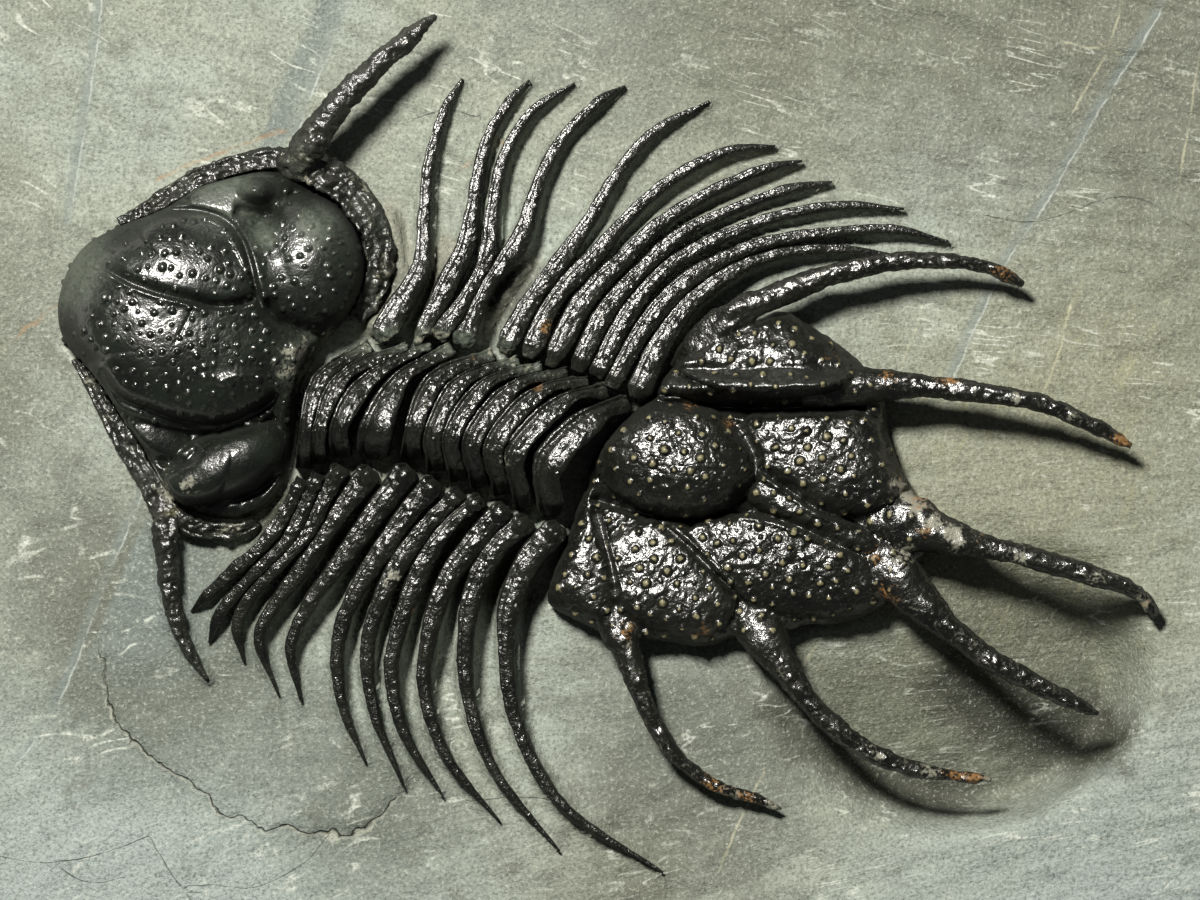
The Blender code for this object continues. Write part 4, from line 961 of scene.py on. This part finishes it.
def past_edge(places, outline, centre):
    """How far places lie beyond a closed outline, seen from its centre; less than 0 inside it."""
    corners = np.array(outline) - centre
    turns = np.arctan2(corners[:, 1], corners[:, 0])
    order = np.argsort(turns)
    offsets = places - centre
    reach = np.interp(
        np.arctan2(offsets[:, 1], offsets[:, 0]), turns[order], np.linalg.norm(corners, axis=1)[order],
        period=2 * math.pi)
    return np.linalg.norm(offsets, axis=1) - reach


def on_tail(places):
    """Tubercles keep off the furrows and the thin raised edges."""
    furrow = crease(places, [(line, 1.0, 1.0, left, right) for line, _, _, left, right in TAIL_FURROWS])
    return (furrow < 0.5) & (past_edge(places, TAIL_OUTLINE, TAIL_CENTRE) < -TUBERCLE_EDGE_GAP)


rng = np.random.default_rng(52)
large = scatter(*TAIL_BOX, LARGE_TUBERCLE_SPACING, 51, TUBERCLE_TRIES, on_tail)
small = scatter(*TAIL_BOX, SMALL_TUBERCLE_SPACING, 53, TUBERCLE_TRIES, on_tail)
small = small[np.linalg.norm(small[:, None] - large[None], axis=2).min(axis=1) > SMALL_TUBERCLE_GAP]
large_radii = rng.uniform(*LARGE_TUBERCLE_RADII, len(large))
small_radii = rng.uniform(*SMALL_TUBERCLE_RADII, len(small))
push, tip = beads(points, facing, large, large_radii, TAIL_TUBERCLE_HEIGHT_SHARE * large_radii)
small_push, _ = beads(points, facing, small, small_radii, TAIL_TUBERCLE_HEIGHT_SHARE * small_radii)
knobs = []
for stations in TAIL_SPINES.values():
    middle = smooth_route(stations, 8)[::2]
    aside = rng.uniform(-0.6, 0.6, (len(middle), 2)) * middle[:, 3:4]
    knobs.append(np.column_stack([middle[:, :2] + aside, middle[:, 2] + middle[:, 3]]))
knobs = np.vstack(knobs)
knob_radii = rng.uniform(*SPINE_KNOB_RADII, len(knobs))
spine_push, _ = beads(points, facing, knobs, knob_radii, np.full(len(knobs), SPINE_KNOB_HEIGHT))
push += small_push + spine_push
beyond = past_edge(points[:, :2], TAIL_OUTLINE, TAIL_CENTRE)
push += 0.04 * grain(points, 0.3, 56, 2) * (beyond > 0.5)
turned, leaning = math.cos(WRINKLE_TURN), math.sin(WRINKLE_TURN)
folds = points @ np.array([[turned, -leaning, 0], [leaning, turned, 0], [0, 0, 1]])
on_left = np.clip(spots(points, WRINKLED_LOBE) * (points[:, 1] > 4.6) * 3, 0, 1)
push += (0.1 + 0.06 * on_left) * grain(folds * (0.6, 1.0, 1.0), 1.05, 54, 2)
push += 0.045 * grain(points, 0.42, 55, 2)
put_surface(tail, points + facing * push[:, None])
mend, _ = line_distance(points[:, :2], MEND)
on_spines = np.clip(beyond / 1.5, 0, 1)
paint_marks(
    tail, tip=1.1 * tip, rust=np.clip(0.75 * spots(points, TAIL_RUST), 0, 1),
    chalk=np.clip(0.8 * spots(points, TAIL_CHALK) + 0.18 * on_spines, 0, 1),
    calcite=np.clip(1.15 - np.abs(mend) / MEND_HALF_WIDTH, 0, 1)
    * np.clip(0.65 + grain(points, 0.7, 57, 2), 0, 1))
tail_cuticle = calcite_cuticle(
    "calcite cuticle, jet black and wet-looking", "#0a0b08", "#161712", roughness=0.3, grain_depth=0.035,
    film=1.0)
finish_piece(tail, tail_cuticle, "tail_shell", "pygidium")


# Slab: the limestone that buried the animal, sawn flat below, broken round the sides and cut
# back by hand to the bedding plane that carries it, with a hollow worked out under the tail
# spines. Air abrasive leaves it matt, with short pale scratches, veins and fine cracks.
SLAB_OUTLINE = [
    (48.0, -8.0), (47.2, 14.0), (44.6, 29.0), (37.0, 35.6), (12.0, 37.5), (-15.0, 36.4),
    (-36.0, 36.9), (-45.4, 30.5), (-48.0, 6.0), (-46.4, -20.0), (-43.8, -32.0),
    (-30.0, -36.7), (2.0, -37.5), (31.0, -35.9), (43.8, -32.4), (46.8, -22.0),
]
SLAB_CELLS = (288, 225)
SLAB_WALL_ROWS = 26
HOLLOW_CENTRE = (22.0, -14.4)
HOLLOW_RADII = (15.6, 11.8)
HOLLOW_SLOPE = 0.38
HOLLOW_SHORE = 0.3
HOLLOW_STEEP_WAY = (0.75, -0.66)
HOLLOW_FLOOR_SHARES = (0.15, 0.8)
# Rock left standing between the left spines, as (line seen from above, half width, height)
ROCK_RIDGES = [
    ([(-14.2, 15.6), (-13.5, 13.0), (-13.5, 10.4), (-15.0, 8.3)], 0.5, 1.3),
    ([(-10.2, 13.6), (-11.0, 10.6)], 0.25, 1.2),
    ([(-5.0, 12.4), (-6.2, 10.6), (-7.7, 8.4)], 0.3, 1.1),
    ([(-1.6, 12.0), (-3.2, 9.8)], 0.25, 1.1),
]
BEDDING_TURN = 0.0115
SIDE_BULGE, SIDE_SHRINK, LEDGE_INSET = 0.0115, 0.004, 0.4
CRACK_STEP, CRACK_REACH, CRACK_WOBBLE = 0.16, 2.6, 0.5
# Where the rock is stepped by its bedding, and where its colour changes, as round spots of
# (x, y, reach) and their strength where that isn't 1
LEDGES = [(40, 32, 30, 1.4), (3, -30, 12), (14, 30, 14)]
OLIVE_SPOTS = [(26, -4, 22, 1.1), (38, 8, 14, 0.5)]
ROCK_SPOTS = {
    "cool": [(-30, -34, 26, 1.3), (34, -34, 24, 1.1), (2, 32, 14, 0.5)],
    "shade": [(-29, -13, 13, 1.5), (-15, -23, 10, 1.1), (6, -20, 12, 1.2), (-42, -2, 13, 0.6),
              (40, 0, 14, 0.5)],
    # Weathering spots: partly weathered rock, partly painted shade where the rock dips away from the light
    "weathering and painted shade": [(44, 33, 30, 1.8), (10, 32, 22, 1.1), (-38, 34, 9, 0.6), (3, -29, 13, 0.8),
                (-44, 8, 15, 0.9), (-32, -10, 9, 0.8)],
}
# Bluer rock: a band across the bedding, and the rock on one side of a vein
BLUE_BAND, BLUE_BAND_HALF_WIDTH = [(-16.6, 35.0), (-17.9, 30.0), (-20.6, 24.0), (-22.2, 19.5)], 0.85
BLUE_SPOT = [(-31.0, -9.5, 7.0)]
# Painted shadow where the spines' shadows fall in the hollow, and painted shade along the roots of the
# spines, as (line seen from above, reach, strength)
PAINTED_ROCK_SHADE = [
    ([(24.5, -15.8), (27.0, -17.4), (30.5, -18.7), (33.0, -19.0)], 3.8, 1.0),
    ([(12.0, -17.0), (16.5, -21.0), (21.0, -22.8), (24.5, -23.0)], 2.2, 0.7),
    ([(-21.0, -4.6), (-17.5, -5.0), (-13.5, -6.2), (-9.5, -7.4), (-6.0, -9.0)], 3.4, 0.9),
    ([(-13.0, 10.2), (-9.4, 10.6), (-5.4, 10.4), (-1.6, 9.4), (2.6, 8.6)], 2.4, 0.6),
]
# Veins, cracks and stains, each a line seen from above
ROCK_LINES = {
    "vein": [
        [(39.5, 34.0), (37.0, 29.0), (33.4, 23.2), (29.7, 16.7), (26.9, 12.5), (23.3, 4.7)],
        [(-33.2, 33.0), (-33.7, 28.0), (-35.0, 19.5), (-35.6, 15.5)],
        [(-30.7, -2.7), (-33.7, -10.0), (-36.0, -16.0), (-40.0, -22.0), (-44.0, -26.0)],
        [(-15.4, 35.0), (-16.9, 30.0), (-19.0, 25.0), (-20.4, 21.2)],
    ],
    "veinlet": [
        [(36.0, 34.0), (34.0, 27.0), (31.6, 22.6)],
        [(43.0, 33.0), (40.6, 28.6), (39.4, 22.0), (38.6, 17.0)],
        [(31.0, 27.2), (34.6, 26.6)],
        [(8.0, -28.0), (9.4, -24.6), (11.0, -21.5)],
        [(13.4, -14.6), (14.8, -12.6), (16.2, -10.9)],
        [(22.6, 13.4), (21.4, 9.0), (20.0, 5.2)],
        [(31.4, 9.6), (30.6, 6.4), (29.4, 3.4)],
    ],
    "crack": [
        [(-33.3, -14.0), (-32.9, -16.6), (-32.2, -18.5), (-30.8, -19.9), (-28.8, -21.2), (-26.7, -22.8),
         (-24.6, -24.5), (-22.2, -25.3), (-20.0, -25.2), (-17.3, -25.7), (-15.0, -25.0), (-13.7, -23.4)],
    ],
    "hairline": [
        [(-46.0, -26.0), (-40.0, -27.2), (-37.0, -27.6), (-33.3, -27.0), (-30.1, -25.8)],
        [(-30.1, -25.8), (-28.7, -28.2), (-27.4, -30.0), (-26.4, -31.5)],
        [(-27.8, -29.1), (-25.6, -29.1), (-23.2, -29.3), (-21.4, -28.6), (-19.5, -27.4), (-18.2, -25.8)],
        [(-32.0, -28.6), (-33.2, -28.9), (-34.6, -28.8), (-36.4, -27.7)],
        [(-12.3, 22.1), (-10.4, 22.7), (-8.3, 22.3)],
        [(-8.7, -23.5), (-5.0, -23.2), (-2.7, -23.5)],
        [(26.0, 15.6), (28.7, 15.2), (31.3, 15.8), (33.6, 16.7), (36.0, 16.8), (39.3, 15.0)],
    ],
    "stain": [
        [(-46.0, 2.0), (-40.0, 6.7), (-36.6, 9.5)],
        [(-29.6, 18.0), (-26.0, 19.6), (-21.3, 21.3)],
        [(-9.0, 19.0), (-6.5, 20.5)],
    ],
}


def rock_line(xy, name):
    """Distance to the nearest line of a kind, less than 0 on its right; the crack is ragged."""
    best = np.full(len(xy), np.inf)
    for line in ROCK_LINES[name]:
        away, _ = line_distance(xy, line)
        best = np.where(np.abs(away) < np.abs(best), away, best)
    return best + CRACK_WOBBLE * grain(xy, 1.4, 68, 3) if name == "crack" else best


def bedding_of(points):
    """The points with Y turned a little along X, as the rock's fine layers run."""
    turned = points[:, 1] + BEDDING_TURN * (points[:, 1] + 3) * points[:, 0]
    return np.column_stack([points[:, 0], turned, points[:, 2:]])


def rock_depth(xy):
    """How far the rock's surface lies below its level under the animal, and its share of the hollow."""
    offsets = xy - HOLLOW_CENTRE
    reach = np.linalg.norm(offsets / HOLLOW_RADII, axis=1)
    steep = 0.5 + 0.5 * offsets @ HOLLOW_STEEP_WAY / (np.linalg.norm(offsets, axis=1) + 0.01)
    floor_share = HOLLOW_FLOOR_SHARES[0] + (HOLLOW_FLOOR_SHARES[1] - HOLLOW_FLOOR_SHARES[0]) * steep
    share = np.clip((1 - reach) / (1 - floor_share), 0, 1)
    beyond = np.clip(past_edge(xy, TAIL_OUTLINE, TAIL_CENTRE) - HOLLOW_SHORE, 0, None)
    return HOLLOW_SLOPE * beyond * share * share * (3 - 2 * share), share * np.clip(beyond / 4, 0, 1)


def bed(xy):
    """Height of the rock left standing under the pieces that rest on it."""
    level = np.zeros(len(xy))
    rows = [route[::4, [0, 1, 3, 4]] for route in footprints]
    for outline, centre, cells in ((HEAD_OUTLINE, HEAD_CENTRE, 22), (TAIL_OUTLINE, TAIL_CENTRE, 20)):
        inner, share, _, _ = stretched_grid(outline, centre, cells, cells)
        inner = inner[share < 0.8]
        rows.append(np.column_stack([inner, np.full(len(inner), 0.6), np.full(len(inner), 0.15)]))
    for stations in (ground_rows(LEFT_RIM), ground_rows(RIGHT_RIM), spine_rows(RIGHT_GENAL)):
        line = resample(smooth_route(stations, 6), 0.4)
        rows.append(line[:, [0, 1, 3, 4]])
    for line, half, top in ROCK_RIDGES:
        ridge = smooth_route(line, 12)
        rows.append(np.column_stack([ridge, np.full(len(ridge), half), np.full(len(ridge), top)]))
    for x, y, half, bottom in np.vstack(rows):
        near = np.flatnonzero((abs(xy[:, 0] - x) < half + 0.5) & (abs(xy[:, 1] - y) < half + 0.5))
        away = np.hypot(xy[near, 0] - x, xy[near, 1] - y)
        share = np.clip((half + 0.4 - away) / 0.55, 0, 1)
        level[near] = np.maximum(level[near], (bottom + 0.15) * share * share * (3 - 2 * share))
    return level


xy, share, faces, rim = stretched_grid(SLAB_OUTLINE, (0.0, 0.0), *SLAB_CELLS)
depth, hollow = rock_depth(xy)
inside = np.clip((1 - share) / 0.03, 0, 1)
bedding = bedding_of(xy)
ledgy = np.clip(spots(xy, LEDGES), 0, 1)
relief = 0.34 * grain(xy, 15.0, 61, 2) + (0.1 + 0.14 * ledgy) * grain(bedding * (0.4, 1.0), 2.4, 62, 3)
relief += (0.04 + 0.06 * ledgy) * grain(bedding * (0.6, 1.0), 0.8, 63, 2)
standing = bed(xy)
relief += 0.4 * np.clip(standing / 1.2, 0, 1) * grain(xy, 0.8, 67, 3)
crack = rock_line(xy, "crack")
relief -= 0.08 * np.exp(-((crack / 0.2) ** 2))
relief += CRACK_STEP * np.exp(-((crack / CRACK_REACH) ** 2)) * np.tanh(crack / 0.25)
chips = (1 - inside) * (0.5 + 0.6 * np.abs(grain(xy, 2.2, 64, 2)))
height = relief - depth - chips + np.maximum(standing - np.clip(relief, 0, None), 0)
points = np.column_stack([xy, height])
loops = [points]
above = rim
for row in range(1, SLAB_WALL_ROWS + 1):
    down = row / SLAB_WALL_ROWS
    level = height[rim] * (1 - down) ** 4 - ROCK_LEVEL * down
    loop = np.column_stack([xy[rim], level])
    ledge = 0.75 * grain(loop, 4.5, 65, 2) + 0.3 * grain(loop * (0.4, 0.4, 2.2), 1.4, 66, 2)
    bulge = 1 + (SIDE_BULGE * math.sin(math.pi * min(1, down * 1.4)) - SIDE_SHRINK)
    across = loop[:, :2] / np.linalg.norm(loop[:, :2], axis=1)[:, None]
    loop[:, :2] = loop[:, :2] * bulge + across * (ledge * min(1, row / 3) - LEDGE_INSET)[:, None]
    below = np.arange(len(rim)) + len(points) + (row - 1) * len(rim)
    faces += np.stack([above, below, np.roll(below, -1), np.roll(above, -1)], axis=1).tolist()
    loops.append(loop)
    above = below
points = np.vstack(loops + [[[0, 0, -ROCK_LEVEL]]])
faces += [[b, a, len(points) - 1] for a, b in zip(above, np.roll(above, -1))]
slab = make_mesh("limestone_slab", points, faces)
for name in ROCK_LINES:
    away = rock_line(points[:, :2], name)
    paint(slab, name, away)
    paint(slab, "near " + name, np.clip(1.8 - np.abs(away) / 0.4, 0, 1))
layer = slab.data.attributes.new("bedding", "FLOAT_VECTOR", "POINT")
layer.data.foreach_set("vector", bedding_of(points).astype(np.float32).ravel())
rough_rock = np.zeros(len(points))
for line, half, _ in ROCK_RIDGES:
    away, _ = line_distance(points[:, :2], line)
    rough_rock = np.maximum(rough_rock, np.clip(1.6 - np.abs(away) / (half + 0.5), 0, 1))
paint(slab, "crust", rough_rock)
# The hollow's colour: partly the rock's own olive-brown tint, partly painted shade in the hollow
paint(slab, "hollow", np.concatenate([hollow, np.zeros(len(points) - len(hollow))]))
paint(slab, "olive", spots(points, OLIVE_SPOTS))
for name, places in ROCK_SPOTS.items():
    paint(slab, name, np.clip(spots(points, places), 0, 1))
# Painted shadow and painted shade on the rock, darkest at each line
painted_shade = np.zeros(len(points))
for line, reach, most in PAINTED_ROCK_SHADE:
    away = np.abs(line_distance(points[:, :2], line)[0]) + 0.4 * grain(points, 1.2, 69, 2)
    painted_shade = np.maximum(painted_shade, most * np.clip(1.5 - 1.5 * away / reach, 0, 1))
paint(slab, "painted_shade", painted_shade)
blue_band, _ = line_distance(points[:, :2], BLUE_BAND)
beyond_vein = np.clip((points[:, 0] + 32.9 - 0.41 * (points[:, 1] + 10)) / 0.4, 0, 1)
paint(slab, "blue", np.maximum(
    0.8 * np.exp(-((blue_band / BLUE_BAND_HALF_WIDTH) ** 6)),
    spots(points, BLUE_SPOT) ** 0.5 * beyond_vein))

# Limestone: matt, with a little gloss from its fine calcite. Its real grit is too fine to show,
# so the finest pattern is drawn 0.24 mm wide.
limestone = new_material("limestone, cut back by air abrasive", {"IOR": 1.5, "Specular IOR Level": 0.4})
spot = add_node(limestone, "TexCoord", {}, "Object")
bedding = add_node(limestone, "Attribute", {}, "Vector", attribute_name="bedding")
broad, patches, short, lumps, wobble, grit = (
    add_node(limestone, "TexNoise", {
        "Vector": spot, "Scale": 1 / (size * MM), "Detail": detail, "Roughness": breakup})
    for size, detail, breakup in (
        (16.0, 3.0, 0.5), (8.0, 2.0, 0.5), (3.0, 2.0, 0.5), (2.6, 5.0, 0.65), (1.1, 5.0, 0.6),
        (0.24, 3.0, 0.75)))
lean = add_node(limestone, "Mapping", {
    "Vector": spot, "Rotation": (0, 0, math.radians(-28)), "Scale": (0.55 * MM, 9 * MM, 3 * MM)
}, vector_type="TEXTURE")
along_layers, along_flakes = (
    add_node(limestone, "VectorMath", {0: bedding, 1: stretch}, operation="MULTIPLY")
    for stretch in ((0.16, 0.8, 0.3), (0.2, 0.95, 0.5)))
layers, flakes, streaks = (
    add_node(limestone, "TexNoise", {
        "Vector": vector, "Scale": 1.0, "Detail": detail, "Roughness": breakup, "Distortion": warp})
    for vector, detail, breakup, warp in (
        (along_layers, 6.0, 0.6, 0.0), (along_flakes, 1.0, 0.5, 0.2), (lean, 2.0, 0.5, 0.0)))

# Coats of colour from the rock's own grey-green up, as (share of the coat, colour)
coats = []
for pattern, low, high, most, code in (
        (broad, 0.4, 0.6, 1.0, "#868b7f"), (lumps, 0.45, 0.72, 0.65, "#71766d"),
        (layers, 0.48, 0.66, 0.5, "#686d62")):
    coats.append((add_node(limestone, "MapRange", {"Value": pattern, 1: low, 2: high, 4: most}), code))
for mark, code, most in (
        ("cool", "#8b9694", 0.75), ("shade", "#575d55", 0.85), ("olive", "#797963", 0.75),
        # hollow: partly the rock's own tint, partly painted shade
        ("hollow", "#5c5e4f", 0.75), ("weathering and painted shade", "#5c5d50", 0.8), ("blue", "#666f6c", 0.8),
        # painted shade: dark colour for the spines' shadows and the shade between their roots
        ("crust", "#77766a", 0.8), ("painted_shade", "#303127", 0.95)):
    amount = add_node(limestone, "Attribute", {}, "Fac", attribute_name=mark)
    uneven = add_node(limestone, "Math", {0: lumps, 1: 0.58}, operation="SUBTRACT")
    uneven = add_node(limestone, "Math", {0: uneven, 1: 0.7, 2: amount}, operation="MULTIPLY_ADD")
    coats.append((add_node(limestone, "MapRange", {"Value": uneven, 1: 0.0, 2: 0.8, 4: most}), code))
for low, high, most, code in ((0.5, 0.3, 0.8, "#484b43"), (0.55, 0.72, 0.6, "#b4b8ac")):
    coats.append((add_node(limestone, "MapRange", {"Value": grit, 1: low, 2: high, 4: most}), code))

# Short pale scratches of the tool, and ochre streaks: each is several patterns multiplied
flakes = add_node(limestone, "Math", {0: flakes, 1: 0.5}, operation="SUBTRACT")
flakes = add_node(limestone, "Math", {0: flakes}, operation="ABSOLUTE")
olive = add_node(limestone, "Attribute", {}, "Fac", attribute_name="olive")
for code, patterns in (
        ("#bcc0b6", ((flakes, 0.034, 0.012, 1.0), (short, 0.53, 0.6, 1.0), (patches, 0.4, 0.6, 1.0),
                     (grit, 0.3, 0.6, 0.85))),
        ("#9c9a78", ((streaks, 0.58, 0.72, 0.4), (olive, 0.2, 0.8, 1.0), (lumps, 0.4, 0.6, 1.0)))):
    product = 1.0
    for pattern, low, high, most in patterns:
        share = add_node(limestone, "MapRange", {"Value": pattern, 1: low, 2: high, 4: most})
        product = add_node(limestone, "Math", {0: product, 1: share}, operation="MULTIPLY")
    coats.append((product, code))

# Veins, cracks and stains, as (name, kind of line, colour, middle and half width in millimetres,
# strength, sway in millimetres, least share that is left where it is broken)
wobble = add_node(limestone, "Math", {0: wobble, 1: 0.5}, operation="SUBTRACT")
traces = {}
for name, mark, code, middle, half, most, sway, solid in (
        ("stain", "stain", "#8f7658", 0.0, 0.11, 0.6, 0.9, 0.15),
        ("joint", "vein", "#6c7573", 0.0, 0.28, 0.6, 0.5, 0.5),
        ("calcite edge", "vein", "#b8beb8", 0.24, 0.05, 0.5, 0.5, 0.0),
        ("veinlet", "veinlet", "#a9a88e", 0.0, 0.06, 0.55, 0.4, 0.2),
        ("hairline", "hairline", "#4f534c", 0.0, 0.03, 0.6, 0.25, 0.35),
        ("crack", "crack", "#3d3a2e", 0.0, 0.045, 0.75, 0.5, 0.6),
        # The crack's pale edge: partly pale crumbled rock, partly painted highlight along its step
        ("crack's pale edge and painted highlight", "crack", "#b4b6a6", -0.17, 0.08, 0.5, 0.5, 0.0)):
    broken = add_node(limestone, "MapRange", {"Value": lumps, 1: 0.42, 2: 0.56, 3: solid, 4: 1.0})
    near = add_node(limestone, "Attribute", {}, "Fac", attribute_name="near " + mark)
    broken = add_node(limestone, "Math", {0: broken, 1: near}, operation="MULTIPLY")
    away = add_node(limestone, "Attribute", {}, "Fac", attribute_name=mark)
    away = add_node(limestone, "Math", {0: wobble, 1: sway, 2: away}, operation="MULTIPLY_ADD")
    away = add_node(limestone, "Math", {0: away, 1: middle}, operation="SUBTRACT")
    away = add_node(limestone, "Math", {0: away}, operation="ABSOLUTE")
    shape = add_node(limestone, "MapRange", {"Value": away, 1: 2 * half, 2: 0.4 * half, 4: 1.0})
    traces[name] = add_node(limestone, "Math", {0: shape, 1: broken}, operation="MULTIPLY")
    coats.append((add_node(limestone, "Math", {0: traces[name], 1: most}, operation="MULTIPLY"), code))

colour = linear("#8c938a")
for share, code in coats:
    colour = add_node(limestone, "Mix", {"Factor": share, "A": colour, "B": linear(code)}, data_type="RGBA")
relief = grit
for pattern, height in ((layers, 1.4), (traces["hairline"], -0.6), (lumps, 2.0), (traces["crack"], -1.6)):
    relief = add_node(limestone, "Math", {0: pattern, 1: height, 2: relief}, operation="MULTIPLY_ADD")
fill(limestone.node_tree.nodes["Principled BSDF"], {
    "Base Color": colour,
    "Roughness": add_node(limestone, "MapRange", {"Value": grit, 1: 0.3, 2: 0.7, 3: 0.55, 4: 0.8}),
    "Normal": add_node(limestone, "Bump", {"Strength": 1.0, "Distance": 0.13 * MM, "Height": relief})})
finish_piece(slab, limestone, "limestone", "matrix")


# Studio: a pale table, one soft light from the upper left that gives the long white glints
# on the black cuticle, a dim even fill, and a long lens straight above the slab.
TABLE_HALF = 1500 * MM
# Uncoated paper: quite matt, so the table gives no glints
paper = new_material("matt pale paper", {"Base Color": linear("#d9d9d4"), "Roughness": 0.9})
floor = bpy.data.objects.new("table", bpy.data.meshes.new("table"))
corners = [(x * TABLE_HALF, y * TABLE_HALF, 0) for x, y in ((-1, -1), (1, -1), (1, 1), (-1, 1))]
floor.data.from_pydata(corners, [], [(0, 1, 2, 3)])
floor.data.materials.append(paper)
bpy.context.scene.collection.objects.link(floor)

KEY_SIZE, KEY_WATTS, KEY_PLACE = 90 * MM, 5.6, (-0.125, 0.217, 0.46)
key = bpy.data.lights.new("key", "AREA")
key.shape, key.size, key.energy = "DISK", KEY_SIZE, KEY_WATTS
key.color = linear("#fffcf4")[:3]
lamp = bpy.data.objects.new("key", key)
lamp.location = KEY_PLACE
lamp.rotation_euler = lamp.location.to_track_quat("Z", "Y").to_euler()
bpy.context.scene.collection.objects.link(lamp)

world = bpy.data.worlds.new("dim white room")
bpy.context.scene.world = world
world.use_nodes = True
world.node_tree.nodes["Background"].inputs["Color"].default_value = linear("#eef4f6")
world.node_tree.nodes["Background"].inputs["Strength"].default_value = 0.06

LENS = 400.0
SENSOR = 36.0
FRAMED_WIDTH = 80.0
CAMERA_FOCUS = ROCK_LEVEL + 2.0
camera = bpy.data.cameras.new("camera")
camera.lens, camera.sensor_width, camera.clip_start = LENS, SENSOR, 0.01
viewer = bpy.data.objects.new("camera", camera)
viewer.location = (0, 0, (CAMERA_FOCUS + FRAMED_WIDTH * LENS / SENSOR) * MM)
bpy.context.scene.collection.objects.link(viewer)
bpy.context.scene.camera = viewer
bpy.context.scene.view_settings.view_transform = "Standard"
